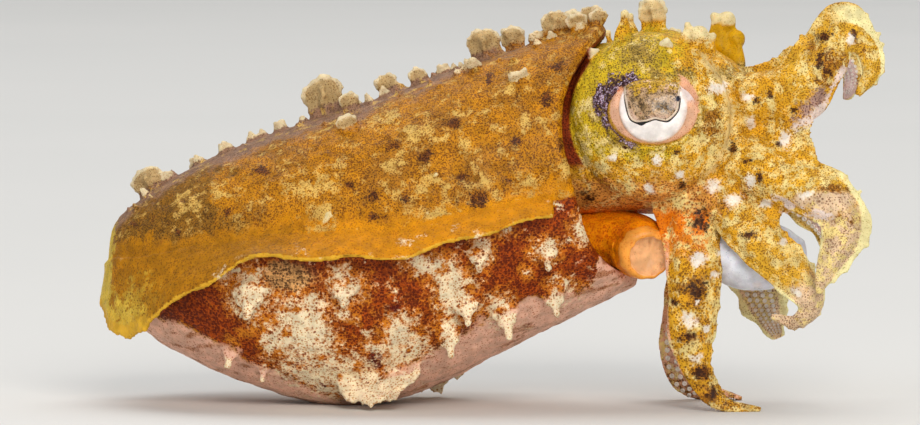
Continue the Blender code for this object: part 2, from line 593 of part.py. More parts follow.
def head():
    """The head with its eye bulges, lids, eye sockets and the roots of all ten limbs."""
    body = loft("head", head_rings(), "head_skin")
    parts = []
    for side in (RIGHT, LEFT):
        parts.append(ellipsoid("bulge", to_side(BULGE, side), BULGE_SIZE))
        parts.append(lid(side))
        parts.append(tentacle_length("stub", side, 0, TENTACLE_STUB))
    for name, side in ARMS:
        parts.append(arm_length("stub", name, side, 0, ARM_STUB, STUB_RINGS))
    for side, out, height, width in HEAD_CROWNS:
        base = BULGE + BULGE_SIZE * unit(out)
        base, out = to_side(base, side), unit(to_side(out, side))
        parts += crowns(base, out, np.cross(ACROSS, out), height, width)
    boolean(body, parts, "UNION")
    sockets = [ellipsoid("socket", to_side(EYE, side), EYE_SIZE + GAP) for side in (RIGHT, LEFT)]
    return boolean(body, sockets, "DIFFERENCE")


def eye(side):
    """An eyeball with the groove of its pupil."""
    ball = ellipsoid(f"eye_{SIDE_NAME[side]}", to_side(EYE, side), EYE_SIZE, "eye")
    x, z = PUPIL.T
    depth = np.sqrt(1 - (x / EYE_SIZE[0]) ** 2 - (z / EYE_SIZE[2]) ** 2)
    floor = EYE[1] + EYE_SIZE[1] * depth - PUPIL_DEPTH
    along = unit(np.gradient(PUPIL, axis=0)) * PUPIL_HALF
    corners = [(-1, floor), (1, floor), (1, floor + PUPIL_REACH), (-1, floor + PUPIL_REACH)]
    rings = np.stack([
        np.stack([EYE[0] + x - turn * along[:, 1], y, EYE[2] + z + turn * along[:, 0]], axis=-1)
        for turn, y in corners
    ], axis=1)
    return boolean(ball, [loft("groove", to_side(rings, side))], "DIFFERENCE")


def tube_rings(path, radii, sides, forward):
    """Round sections along a path, square to the forward directions."""
    first = unit(np.cross(forward, (0.0, 0.0, 1.0)))
    second = np.cross(forward, first)
    turn = circle(sides)[None, :, None]
    ring = np.cos(turn) * first[:, None] + np.sin(turn) * second[:, None]
    return path[:, None] + radii[:, None, None] * ring


def funnel():
    """The tube that the animal breathes and jets through, hollow at its mouth."""
    share = np.linspace(0, 1, FUNNEL_RINGS)
    path = spline(np.vstack([cup_point(-FUNNEL_DROP), FUNNEL_PATH]), share)
    radii = spline(FUNNEL_RADII[:, None], share)[:, 0]
    forward = unit(np.gradient(path, axis=0))
    forward[0] = ALONG
    path = np.vstack([path, path[-1], path[-1] - FUNNEL_DEPTH * forward[-1]])
    radii = np.append(radii, [FUNNEL_MOUTH, FUNNEL_FLOOR])
    forward = np.vstack([forward, forward[-1], forward[-1]])
    return loft("funnel", to_side(tube_rings(path, radii, FUNNEL_SIDES, forward), RIGHT), "funnel_skin")


def mouth():
    """The soft cone round the beak, facing the front of the head."""
    pitch = math.radians(HEAD_SHAPE[-1, -1])
    forward = np.array([math.cos(pitch), 0.0, math.sin(pitch)])
    up = np.array([-math.sin(pitch), 0.0, math.cos(pitch)])
    turn = circle(MOUTH_SIDES)[None, :, None]
    centre = head_rings()[-1].mean(0) + forward * (GAP + MOUTH_PROFILE[:, :1])
    ring = MOUTH_PROFILE[:, 1][:, None, None] * (np.cos(turn) * up + np.sin(turn) * ACROSS)
    return loft("mouth", centre[:, None] + ring, "white_flesh")


def walk(path, place, cuts):
    """Middle, forward direction and share of a limb's path at distances from its root.

    Near a cut all sections lie square to the path at the middle of the cut, so that the faces
    on both sides of it are parallel.
    """
    fine = np.linspace(0, 1, LIMB_STEPS)
    dense = spline(path, fine)
    reach = np.append(0, np.cumsum(np.linalg.norm(np.diff(dense, axis=0), axis=1)))
    at = place.astype(float)
    for cut in cuts:
        at[np.abs(place - cut) < GAP] = cut
    middle, forward = (
        np.stack([np.interp(at, reach, column) for column in values.T], axis=-1)
        for values in (dense, np.gradient(dense, axis=0))
    )
    forward = unit(forward)
    return middle + (place - at)[:, None] * forward, forward, np.interp(at, reach, fine)


def limb_end(path):
    dense = spline(path, np.linspace(0, 1, LIMB_STEPS))
    return np.linalg.norm(np.diff(dense, axis=0), axis=1).sum()


def tentacle_length(name, side, start, end):
    """A length of a feeding arm between two distances from its root."""
    place = np.linspace(start, end, TENTACLE_RINGS)
    middle, forward, share = walk(TENTACLE_PATH[side], place, [TENTACLE_STUB + GAP / 2])
    radii = spline(TENTACLE_RADII[side][:, None], share)[:, 0]
    finish = None if name == "stub" else "white_flesh"
    return loft(name, to_side(tube_rings(middle, radii, TENTACLE_SIDES, forward), side), finish)


def arm_cuts(arm):
    """Where an arm leaves the head, and where its base ends."""
    start = ARM_STUB + GAP
    return np.array([ARM_STUB, start + ARM_SPLIT * (limb_end(arm.path) - start)])


def arm_places(arm, place):
    """Middle, outward and across directions and sizes of an arm at distances from its root."""
    middle, forward, share = walk(arm.path, place, arm_cuts(arm) + GAP / 2)
    outward = spline(arm.outward, share)
    outward = unit(outward - np.sum(outward * forward, axis=-1, keepdims=True) * forward)
    sizes = spline(np.stack([arm.width, arm.upper, arm.lower], axis=-1), share)
    return middle, outward, np.cross(forward, outward), np.maximum(sizes, 0).T


def arm_length(node, name, side, start, end, count):
    """A length of an arm: rounded outside, flatter inside, with a thin skin flap on both edges."""
    middle, outward, across, sizes = arm_places(ARMS[name, side], np.linspace(start, end, count))
    width, upper, lower = sizes
    thick = width * ARM_THICKNESS
    high, low, edge = width + upper, -width - lower, np.minimum(EDGE, ARM_EDGE * thick)
    section = [(high, edge), *((a * width, b * thick) for a, b in ARM_OUTER), (low, edge),
               (low, -edge), *((a * width, b * thick) for a, b in ARM_INNER), (high, -edge)]
    rings = np.stack([middle + a[:, None] * across + b[:, None] * outward for a, b in section], axis=1)
    turn = len(ARM_OUTER) + 2
    return loft(node, to_side(rings, side), None if node == "stub" else "head_skin", turn)


def arm_suckers(arm, side, start, end, count):
    """Suckers between two distances along an arm, smaller towards its tip."""
    places = np.linspace(start + SUCKER_MARGIN, end - SUCKER_MARGIN, count)
    middle, outward, across, (width, _, _) = arm_places(arm, places)
    row = SUCKER_ROW * np.where(np.arange(count) % 2, 1, -1) * width
    depth = ARM_THICKNESS * width
    base = middle + row[:, None] * across - SUCKER_FACE * depth[:, None] * outward
    radius, sink = np.minimum(SUCKER_RADIUS, SUCKER_SHARE * width), SUCKER_SINK * depth
    return [
        sucker(*(to_side(v[i], side) for v in (base, -outward, across)), radius[i], sink[i])
        for i in range(count)
        if base[i, 2] > SUCKER_FLOOR
    ]


def arm(name, side):
    """The free part of an arm, in a base and a tip, with its suckers."""
    shape = ARMS[name, side]
    stub, split = arm_cuts(shape)
    end = limb_end(shape.path)
    node = f"{name}_{SIDE_NAME[side]}"
    base = arm_length(f"{node}_base", name, side, stub + GAP, split, BASE_RINGS)
    boolean(base, arm_suckers(shape, side, stub + GAP, split, BASE_SUCKERS), "UNION")
    tip = arm_length(f"{node}_tip", name, side, split + GAP, end, TIP_RINGS)
    boolean(tip, arm_suckers(shape, side, split + GAP, end, TIP_SUCKERS), "UNION")
    if name == "arm_4":
        boolean(tip, [ground()], "DIFFERENCE")


def build():
    clear_scene()
    mantle()
    head()
    funnel()
    mouth()
    for side in (RIGHT, LEFT):
        fin(side)
        flap(side)
        eye(side)
        tentacle_length(f"tentacle_{SIDE_NAME[side]}", side, TENTACLE_STUB + GAP, limb_end(TENTACLE_PATH[side]))
    for name, side in ARMS:
        arm(name, side)


build()
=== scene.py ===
"""Looks of the dwarf cuttlefish: a skin over the body, a skin over head and arms, and its eyes,
funnel, feeding arms, mouth and suckers.

The animal faces +X, its right side is towards -Y and the ground is z = 0. Lengths are in
millimetres; they become metres where a mesh is made.
"""
import itertools
import logging
import math
from collections.abc import Sequence
from dataclasses import dataclass, field
from enum import Enum
from functools import partial

import bpy
import numpy as np
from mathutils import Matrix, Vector


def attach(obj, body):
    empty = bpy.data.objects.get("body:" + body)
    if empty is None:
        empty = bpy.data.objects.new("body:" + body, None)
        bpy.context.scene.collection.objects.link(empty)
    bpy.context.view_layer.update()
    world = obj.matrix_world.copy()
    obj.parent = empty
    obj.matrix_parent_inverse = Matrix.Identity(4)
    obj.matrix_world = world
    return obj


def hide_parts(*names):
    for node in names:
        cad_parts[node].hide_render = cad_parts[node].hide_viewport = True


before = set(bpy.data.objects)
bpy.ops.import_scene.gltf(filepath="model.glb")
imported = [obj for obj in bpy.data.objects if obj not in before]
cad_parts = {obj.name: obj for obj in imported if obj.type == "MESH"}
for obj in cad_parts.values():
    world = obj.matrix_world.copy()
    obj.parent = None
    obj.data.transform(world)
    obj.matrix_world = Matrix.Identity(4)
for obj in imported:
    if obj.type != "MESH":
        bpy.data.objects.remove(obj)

LOG = logging.getLogger("cuttlefish")
MM = 0.001
Array = np.ndarray
Shell = tuple[Array, Array]  # points in millimetres, triangles
Row = tuple[float, ...]
Rows = tuple[Row, ...]


class Side(Enum):
    """A side of the animal. The value is the sign of y on it."""

    RIGHT = -1
    LEFT = 1

    @property
    def word(self) -> str:
        """The side's name as the CAD nodes spell it."""
        return self.name.lower()

    def place(self, points: Array) -> Array:
        """Points made for the left side, moved to this one."""
        return np.asarray(points, float) * (1, self.value, 1)


# Shapes as formulas


def unit(v: Array) -> Array:
    """Vectors divided by their length."""
    v = np.asarray(v, float)
    return v / np.linalg.norm(v, axis=-1, keepdims=True)


def smooth(low: float, high: float, value: Array) -> Array:
    """The smoothstep 3t^2 - 2t^3 of the value's share of the way from low to high."""
    t = np.clip((np.asarray(value, float) - low) / (high - low), 0, 1)
    return t * t * (3 - 2 * t)


def steps(count: int) -> Array:
    """Equal steps from 0 to 1."""
    return np.linspace(0, 1, count)


def circle(count: int) -> Array:
    """Equal angles round a full turn, in radians."""
    return np.arange(count) * 2 * np.pi / count


def spline(knots: Array, at: Array) -> Array:
    """Values on a smooth curve through knots.

    Formula: the Catmull-Rom cubic through each pair of knots, with its ends drawn out straight.

    Args:
        knots: one row for each knot.
        at: places along the curve, from 0 to 1.
    Returns:
        One row of values for each place.
    """
    k = np.asarray(knots, float)
    padded = np.vstack([2 * k[0] - k[1], k, 2 * k[-1] - k[-2]])
    place = np.clip(np.asarray(at, float), 0, 1) * (len(k) - 1)
    i = np.minimum(place.astype(int), len(k) - 2)
    f = (place - i)[:, None]
    a, b, c, d = (padded[i + n] for n in range(4))
    return b + 0.5 * f * (c - a + f * (2 * a - 5 * b + 4 * c - d + f * (3 * b - a - 3 * c + d)))


def along(values: Sequence[float], at: Array) -> Array:
    """Numbers read on a smooth curve through values."""
    return spline(np.array(values)[:, None], at)[:, 0]


def table(shape: Array, at: Array) -> Array:
    """The later columns of a table, read on a smooth curve at places in its first column."""
    fine = spline(shape, steps(40 * len(shape)))
    return np.stack([np.interp(at, fine[:, 0], column) for column in fine.T[1:]], axis=-1)


def lattice_noise(points: Array, size: float, seed: int = 0) -> Array:
    """Smooth noise from 0 to 1.

    Formula: each corner of a cubic lattice has a value from a hash of its whole-number place, and
    the eight values round a point are blended by the smoothstep of its place in the cell.

    Args:
        points: rows of x, y, z.
        size: edge of a lattice cell.
        seed: picks another hash.
    Returns:
        One value for each point.
    """
    grid = np.asarray(points, float) / size + 4096.0
    cell = np.floor(grid).astype(np.uint64)
    part = grid - cell
    part = part * part * (3 - 2 * part)
    total = np.zeros(len(grid))
    primes = np.array([73856093, 19349663, 83492791], np.uint64)
    for corner in itertools.product((0, 1), repeat=3):
        step = np.array(corner, np.uint64)
        key = ((cell + step) * primes).sum(axis=1) + np.uint64(seed * 7919 + 17)
        key = (key ^ (key >> np.uint64(13))) * np.uint64(2246822519) & np.uint64(0xFFFFFFFF)
        key = (key ^ (key >> np.uint64(15))) * np.uint64(3266489917) & np.uint64(0xFFFFFFFF)
        value = (key >> np.uint64(8)).astype(float) / 0xFFFFFF
        total += value * np.where(step == 1, part, 1 - part).prod(axis=1)
    return total


def cloud(points: Array, size: float, octaves: int = 3, seed: int = 0) -> Array:
    """Noise from about -1 to 1: octaves of lattice noise, each half the size and half the height.

    Args:
        points: rows of x, y, z.
        size: of the largest lumps.
        octaves: how many.
        seed: picks another noise.
    Returns:
        One value for each point.
    """
    total, height = np.zeros(len(points)), 1.0
    for n in range(octaves):
        total += height * (2 * lattice_noise(points, size / 2**n, seed + n) - 1)
        height /= 2
    return total


def nearest(points: Array, samples: Array, block: int = 8192) -> tuple[Array, Array]:
    """The nearest sample to each point.

    Formula: squared distance is |p|^2 + |s|^2 - 2 p.s, taken for whole blocks of points at once.

    Args:
        points: rows of x, y, z.
        samples: rows of x, y, z to choose from.
        block: points taken at once.
    Returns:
        The sample's row for each point, and its distance.
    """
    s = samples.astype(np.float32)
    best, far = [], []
    for start in range(0, len(points), block):
        p = points[start:start + block].astype(np.float32)
        square = (p * p).sum(1)[:, None] + (s * s).sum(1)[None] - 2 * p @ s.T
        index = square.argmin(1)
        best.append(index)
        far.append(np.sqrt(np.maximum(square[np.arange(len(p)), index], 0)))
    return np.concatenate(best), np.concatenate(far).astype(float)


def wall(rings: int, sides: int, loop: bool = False) -> Array:
    """Triangles between neighbouring rings of points.

    Formula: two triangles join side j of ring i to the next side and the next ring.

    Args:
        rings: how many rings.
        sides: points in a ring.
        loop: joins the last ring to the first.
    Returns:
        Rows of three point numbers.
    """
    i, j = np.meshgrid(np.arange(rings if loop else rings - 1), np.arange(sides), indexing="ij")
    a, b = i * sides + j, i * sides + (j + 1) % sides
    c, d = (a + sides) % (rings * sides), (b + sides) % (rings * sides)
    return np.concatenate([np.stack(corners, -1).reshape(-1, 3) for corners in ((a, b, d), (a, d, c))])


def fan(first: int, sides: int, middle: int) -> Array:
    """Triangles from a ring, given by its first point's number, to a middle point."""
    side = np.arange(sides)
    return np.stack([first + side, first + (side + 1) % sides, np.full(sides, middle)], -1)


def outward(shell: Shell) -> Shell:
    """The shell with its triangles turned so that the volume that they enclose is positive.

    Args:
        shell: a closed shell.
    Returns:
        The same shell, its faces outward.
    """
    points, faces = shell
    a, b, c = (points[faces[:, n]] for n in range(3))
    return points, faces[:, ::-1] if np.einsum("ij,ij->", a, np.cross(b, c)) < 0 else faces


def lofted(rings: Array) -> Shell:
    """A closed shell through rings of points: walls between them, and a fan at both ends.

    Args:
        rings: an array of rings by sides by x, y, z.
    Returns:
        The shell, its faces outward.
    """
    rings = np.asarray(rings, float)
    count, sides = rings.shape[:2]
    size = count * sides
    ends = [fan(0, sides, size)[:, ::-1], fan(size - sides, sides, size + 1)]
    points = np.vstack([rings.reshape(-1, 3), rings[0].mean(0), rings[-1].mean(0)])
    return outward((points, np.concatenate([wall(count, sides), *ends])))


def ball(centre: Array, radii: Sequence[float], axes: Array | None = None, rings: int = 9) -> Shell:
    """An ellipsoid.

    Formula: centre + r1 sin(a) cos(b) axis 1 + r2 sin(a) sin(b) axis 2 + r3 cos(a) axis 3.

    Args:
        centre: its middle.
        radii: its three half sizes.
        axes: rows of its three directions; x, y, z where none are given.
        rings: rings from pole to pole.
    Returns:
        A closed shell.
    """
    axes = np.eye(3) if axes is None else np.asarray(axes, float)
    a, b = np.pi * (np.arange(rings)[:, None] + 0.5) / rings, circle(2 * rings)
    points = np.stack([np.sin(a) * np.cos(b), np.sin(a) * np.sin(b), np.cos(a) + 0 * b], axis=-1)
    return lofted(np.asarray(centre) + (points * radii) @ axes)


def bead(centre: Array, radius: float, rings: int = 6) -> Shell:
    """A small ball."""
    return ball(centre, (radius,) * 3, rings=rings)


def hoops(line: Array, forward: Array, size: Array, turn: Array, flat: float = 1.0,
          level: Row = (0.0, 0.0, 1.0)) -> Array:
    """Rings round a line: line + size (cos(turn) across + flat sin(turn) up).

    Args:
        line: middles of the rings.
        forward: the way that each ring faces.
        size: the radius of each ring, or of each point of it.
        turn: angles round a ring.
        flat: a ring's height as a share of its width.
        level: the direction that across is square to.
    Returns:
        An array of rings by sides by x, y, z.
    """
    across = unit(np.cross(forward, level))
    up = np.cross(across, forward)
    wide, high = np.cos(turn)[None, :, None], flat * np.sin(turn)[None, :, None]
    return line[:, None] + size[..., None] * (wide * across[:, None] + high * up[:, None])


def tube(path: Array, radii: Array, sides: int, flat: float = 1.0) -> Shell:
    """A bar of changing radius along a path, closed at both ends."""
    forward = unit(np.gradient(path, axis=0))
    return lofted(hoops(path, forward, np.asarray(radii)[:, None], circle(sides), flat, (0.03, 0.02, 1.0)))


def slab(middle: Array, normal: Array, half: Array) -> Shell:
    """A thin curved plate: its faces lie half a thickness to both sides of a grid of middles."""
    step = half[..., None] * normal
    return lofted(np.concatenate([middle + step, (middle - step)[:, ::-1]], axis=1))


def joined(shells: Sequence[Shell]) -> Shell:
    """Several shells as one.

    Args:
        shells: the shells.
    Returns:
        One list of points and one of triangles.
    """
    starts = np.cumsum([0] + [len(p) for p, _ in shells[:-1]])
    faces = [f + start for (_, f), start in zip(shells, starts)]
    return np.concatenate([p for p, _ in shells]), np.concatenate(faces)


def spots(points: Array, places: Sequence[Row], soft: float = 0.45, scale: float = 1.0,
          grow: float = 0.0) -> Array:
    """Round marks as the side view shows them.

    Formula: the distance in x and z from each mark's middle, divided by its radii, through a
    smoothstep; the strongest mark counts.

    Args:
        points: rows of x, y, z.
        places: rows of x, z, radius along x, radius along z.
        soft: share of the radius over which the edge fades.
        scale: what the radii are multiplied by.
        grow: what is then added to them.
    Returns:
        A value from 0 to 1 for each point.
    """
    total = np.zeros(len(points))
    for x, z, rx, rz in places:
        away = np.hypot((points[:, 0] - x) / (scale * rx + grow), (points[:, 2] - z) / (scale * rz + grow))
        total = np.maximum(total, smooth(1 + soft, 1 - soft, away))
    return total


# Meshes


def placed(name: str, data: bpy.types.ID) -> bpy.types.Object:
    """A new object in the scene.

    Args:
        name: its name.
        data: the mesh, light or camera that it holds.
    Returns:
        The object.
    """
    obj = bpy.data.objects.new(name, data)
    bpy.context.scene.collection.objects.link(obj)
    return obj


@dataclass
class Surface:
    """A finished surface: points in millimetres, faces, and named values at its points."""

    points: Array
    faces: Array
    values: dict[str, Array] = field(default_factory=dict)

    def normals(self) -> Array:
        """Directions out of the surface: the faces' cross products summed at their corners.

        Returns:
            One unit row for each point.
        """
        corners = self.points[self.faces]
        face = np.cross(corners[:, 2] - corners[:, 0], corners[:, -1] - corners[:, 1])
        total = np.zeros_like(self.points)
        for n in range(self.faces.shape[1]):
            for axis in range(3):
                total[:, axis] += np.bincount(self.faces[:, n], face[:, axis], len(self.points))
        return total / np.maximum(np.linalg.norm(total, axis=1, keepdims=True), 1e-9)

    def relaxed(self, rounds: int, pull: float = 0.5, push: float = -0.53) -> "Surface":
        """The surface with its steps smoothed away.

        Formula: each round moves a point by a share of the way to the mean of its neighbours, and
        then back by a slightly larger share, which keeps the volume.

        Args:
            rounds: how often.
            pull: the share inwards.
            push: the share back.
        Returns:
            The smoothed surface.
        """
        sides = self.faces.shape[1]
        edges = np.concatenate([self.faces[:, [n, (n + 1) % sides]] for n in range(sides)])
        a, b = edges.T.ravel(), edges[:, ::-1].T.ravel()
        count = np.maximum(np.bincount(a, minlength=len(self.points)), 1)
        points = self.points.copy()
        for share in itertools.islice(itertools.cycle((pull, push)), 2 * rounds):
            mean = np.stack([np.bincount(a, points[b, axis], len(points)) for axis in range(3)], -1)
            points += share * (mean / count[:, None] - points)
        return Surface(points, self.faces)

    def thinned(self, limit: int) -> "Surface":
        """The surface as at most the given number of triangles, the fewest where it is flat."""
        share = min(1.0, limit / (len(self.faces) * (self.faces.shape[1] - 2)))
        return modified((self.points, self.faces), "DECIMATE", ratio=share, use_collapse_triangulate=True)

    def made(self, name: str, material: bpy.types.Material) -> bpy.types.Object:
        """The surface as an object at the origin.

        Args:
            name: the object's name.
            material: what it is dressed in.
        Returns:
            The object, with the surface's values as attributes of its points.
        """
        mesh = bpy.data.meshes.new(name)
        mesh.from_pydata((self.points * MM).tolist(), [], self.faces.tolist())
        mesh.shade_smooth()
        for key, value in self.values.items():
            layer = mesh.attributes.new(key, "FLOAT", "POINT")
            layer.data.foreach_set("value", np.clip(value, 0, 1).astype(np.float32))
        mesh.materials.append(material)
        return placed(name, mesh)


def modified(shell: Shell, kind: str, **settings: object) -> Surface:
    """What one of Blender's modifiers makes of a shell.

    Args:
        shell: its points and faces.
        kind: the modifier's type.
        settings: the modifier's properties.
    Returns:
        The surface that it gives, its faces all with as many sides.
    """
    mesh = bpy.data.meshes.new("draft")
    mesh.from_pydata(shell[0].tolist(), [], shell[1].tolist())
    obj = placed("draft", mesh)
    modifier = obj.modifiers.new("change", kind)
    for key, value in settings.items():
        setattr(modifier, key, value)
    result = obj.evaluated_get(bpy.context.evaluated_depsgraph_get()).to_mesh()
    points, corners = np.empty(len(result.vertices) * 3), np.empty(len(result.loops), np.int32)
    result.vertices.foreach_get("co", points)
    result.loops.foreach_get("vertex_index", corners)
    sides = len(corners) // len(result.polygons)
    bpy.data.objects.remove(obj)
    bpy.data.meshes.remove(mesh)
    return Surface(points.reshape(-1, 3), corners.reshape(-1, sides))


def remeshed(shells: Sequence[Shell], voxel: float) -> Surface:
    """One skin round closed shells that overlap, made of cells of the voxel's size."""
    return modified(joined(shells), "REMESH", mode="VOXEL", voxel_size=voxel, adaptivity=0.0)


# Materials


class Kind(Enum):
    """A kind of node: Blender's name, the output read, the inputs given in order, and settings."""

    PLACE = ("ShaderNodeTexCoord", "Object", (), {})
    FIELD = ("ShaderNodeAttribute", "Fac", (), {})
    NOISE = ("ShaderNodeTexNoise", 0, ("Vector",), {})
    CELLS = ("ShaderNodeTexVoronoi", "Distance", ("Vector",), {"Randomness": 0.9})
    PARTS = ("ShaderNodeSeparateColor", 0, (0,), {})
    LESS = ("ShaderNodeMath", 0, (0, 1), {"operation": "SUBTRACT"})
    TIMES = ("ShaderNodeMath", 0, (0, 1), {"operation": "MULTIPLY"})
    TIMES_PLUS = ("ShaderNodeMath", 0, (0, 1, 2), {"operation": "MULTIPLY_ADD"})
    RANGE = ("ShaderNodeMapRange", 0, (0, 1, 2, 3, 4), {"interpolation_type": "SMOOTHSTEP"})
    BLEND = ("ShaderNodeMix", 2, (0, 6, 7), {"data_type": "RGBA"})
    TINT = ("ShaderNodeMix", 2, (0, 6, 7), {"data_type": "RGBA", "blend_type": "MULTIPLY"})
    BUMP = ("ShaderNodeBump", 0, ("Height",), {})


def linear(colour: str) -> Row:
    """A colour from its sRGB hex value to linear light: ((c + 0.055) / 1.055)^2.4 over 0.04."""
    parts = [int(colour[n:n + 2], 16) / 255 for n in (1, 3, 5)]
    return (*(c / 12.92 if c <= 0.04045 else ((c + 0.055) / 1.055) ** 2.4 for c in parts), 1.0)


def put(socket: bpy.types.NodeSocket, value: object) -> None:
    """Fills an input.

    Args:
        socket: the input.
        value: an output to link it to, a hex colour, a number or a tuple of numbers.
    """
    if isinstance(value, bpy.types.NodeSocket):
        socket.id_data.links.new(value, socket)
        return
    if isinstance(value, str):
        value = linear(value)
    if socket.type == "RGBA" and isinstance(value, float):
        value = (value, value, value, 1.0)
    socket.default_value = value


def node(tree: bpy.types.NodeTree, kind: Kind, *inputs: object, **settings: object) -> bpy.types.NodeSocket:
    """Adds a node with its settings and links.

    Args:
        tree: the material's tree.
        kind: what the node does.
        inputs: what fills its main inputs, in order.
        settings: its properties, and its other inputs by name.
    Returns:
        The output that is read.
    """
    name, out, places, fixed = kind.value
    made = tree.nodes.new(name)
    for key, value in {**fixed, **settings}.items():
        if key in made.bl_rna.properties:
            setattr(made, key, value)
        else:
            put(made.inputs[key], value)
    for place, value in zip(places, inputs):
        put(made.inputs[place], value)
    return made.outputs[out]


def blank(name: str) -> bpy.types.Material:
    """A new material with a plain shader.

    Args:
        name: its name.
    Returns:
        The material.
    """
    material = bpy.data.materials.new(name)
    material.use_nodes = True
    return material


def shade(material: bpy.types.Material, inputs: dict[str, object]) -> bpy.types.Material:
    """The material with its shader's inputs filled.

    Args:
        material: the material.
        inputs: what fills each of them, by name.
    Returns:
        The same material.
    """
    for key, value in inputs.items():
        put(material.node_tree.nodes["Principled BSDF"].inputs[key], value)
    return material


@dataclass(frozen=True)
class Layer:
    """A field of colour: flesh under the pigment sacs, the sacs' own colour, and their spread."""

    mask: str
    flesh: str
    sacs: str
    spread: float = 0.5  # radius of an open sac as a share of the distance between sacs
    fray: float = 0.5  # how far noise breaks the field's edge, and how far single sacs stray over it


@dataclass(frozen=True)
class Skin:
    """Living cuttlefish skin: clear slime over pigment sacs, over pale muscle.

    Sacs about a quarter of a millimetre apart give the fine grain, the slime gives small sharp
    glints, and light goes a little way into the flesh.
    """

    name: str
    flesh: str
    sacs: str
    layers: tuple[Layer, ...] = ()
    spread: float = 0.5
    sac_pitch: float = 0.18
    large_pitch: float = 0.25  # where the attribute "coarse" is set
    roughness: float = 0.56
    shine: float = 0.22
    coat: float = 0.04
    depth: float = 0.1
    bump: float = 0.5

    def made(self) -> bpy.types.Material:
        """The material, its patterns on Object coordinates and its fields on attributes.

        Formula: each layer's mask, frayed by noise, mixes in the layer's flesh softly and its sacs one
        by one; a sac shows where its centre is nearer than its spread.

        Returns:
            The material.
        """
        material = blank(self.name)
        add = partial(node, material.node_tree)
        place = add(Kind.PLACE)

        def noise(size: float, detail: float = 2.0, roughness: float = 0.5) -> bpy.types.NodeSocket:
            """Noise whose lumps are the given size in millimetres."""
            return add(Kind.NOISE, place, Scale=1 / (size * MM), Detail=detail, Roughness=roughness)

        ragged = add(Kind.LESS, noise(1.0, 4.0, 0.66), 0.5)
        coarse = add(Kind.TIMES_PLUS, ragged, 1.2, add(Kind.FIELD, attribute_name="coarse"))
        coarse = add(Kind.RANGE, coarse, 0.47, 0.53)
        fine, large = (add(Kind.CELLS, place, Scale=1 / (pitch * MM))
                       for pitch in (self.sac_pitch, self.large_pitch))
        distance = add(Kind.BLEND, coarse, fine, large)
        chance = add(Kind.PARTS, add(Kind.BLEND, coarse, fine.node.outputs["Color"],
                                     large.node.outputs["Color"])).node.outputs
        grain = add(Kind.LESS, chance[0], 0.5)
        flesh, sacs, spread = self.flesh, self.sacs, self.spread
        for layer in self.layers:
            mask = add(Kind.FIELD, attribute_name=layer.mask)
            there = add(Kind.RANGE, mask, 0.0, 0.12)
            broken = add(Kind.TIMES_PLUS, ragged, 3.2 * layer.fray, mask)
            strewn = (add(Kind.TIMES_PLUS, grain, stray * layer.fray, broken) for stray in (0.6, 1.1))
            soft, each = (add(Kind.TIMES, add(Kind.RANGE, value, low, high), there)
                          for value, low, high in zip(strewn, (0.1, 0.35), (0.9, 0.65)))
            flesh = add(Kind.BLEND, soft, flesh, layer.flesh)
            sacs = add(Kind.BLEND, each, sacs, layer.sacs)
            spread = add(Kind.BLEND, each, spread, layer.spread)
        reach = add(Kind.TIMES_PLUS, add(Kind.LESS, noise(2.4), 0.5), 0.4, spread)
        reach = add(Kind.TIMES_PLUS, add(Kind.LESS, chance[1], 0.5), 0.3, reach)
        dots = add(Kind.RANGE, add(Kind.LESS, reach, distance), -0.10, 0.12, 0.0, 0.84)
        pale_sacs = add(Kind.BLEND, add(Kind.RANGE, chance[2], 0.5, 0.85, 0.0, 0.5), sacs, flesh)
        light = add(Kind.RANGE, noise(1.3, 3.0), 0.3, 0.7, 0.80, 1.12)
        pebbles = add(Kind.TIMES_PLUS, distance, 0.35, noise(0.7, 4.0))
        return shade(material, {
            "Base Color": add(Kind.TINT, 1.0, add(Kind.BLEND, dots, flesh, pale_sacs), light),
            "Normal": add(Kind.BUMP, pebbles, Strength=self.bump, Distance=0.25 * MM),
            "Roughness": add(Kind.RANGE, noise(0.9), 0.3, 0.7, self.roughness - 0.1, self.roughness + 0.12),
            "IOR": 1.38, "Specular IOR Level": self.shine, "Coat Weight": self.coat, "Coat Roughness": 0.16,
            "Coat IOR": 1.34, "Subsurface Weight": self.depth, "Subsurface Radius": (1.0, 0.45, 0.2),
            "Subsurface Scale": 0.8 * MM,
        })


# Forms of the body and the head


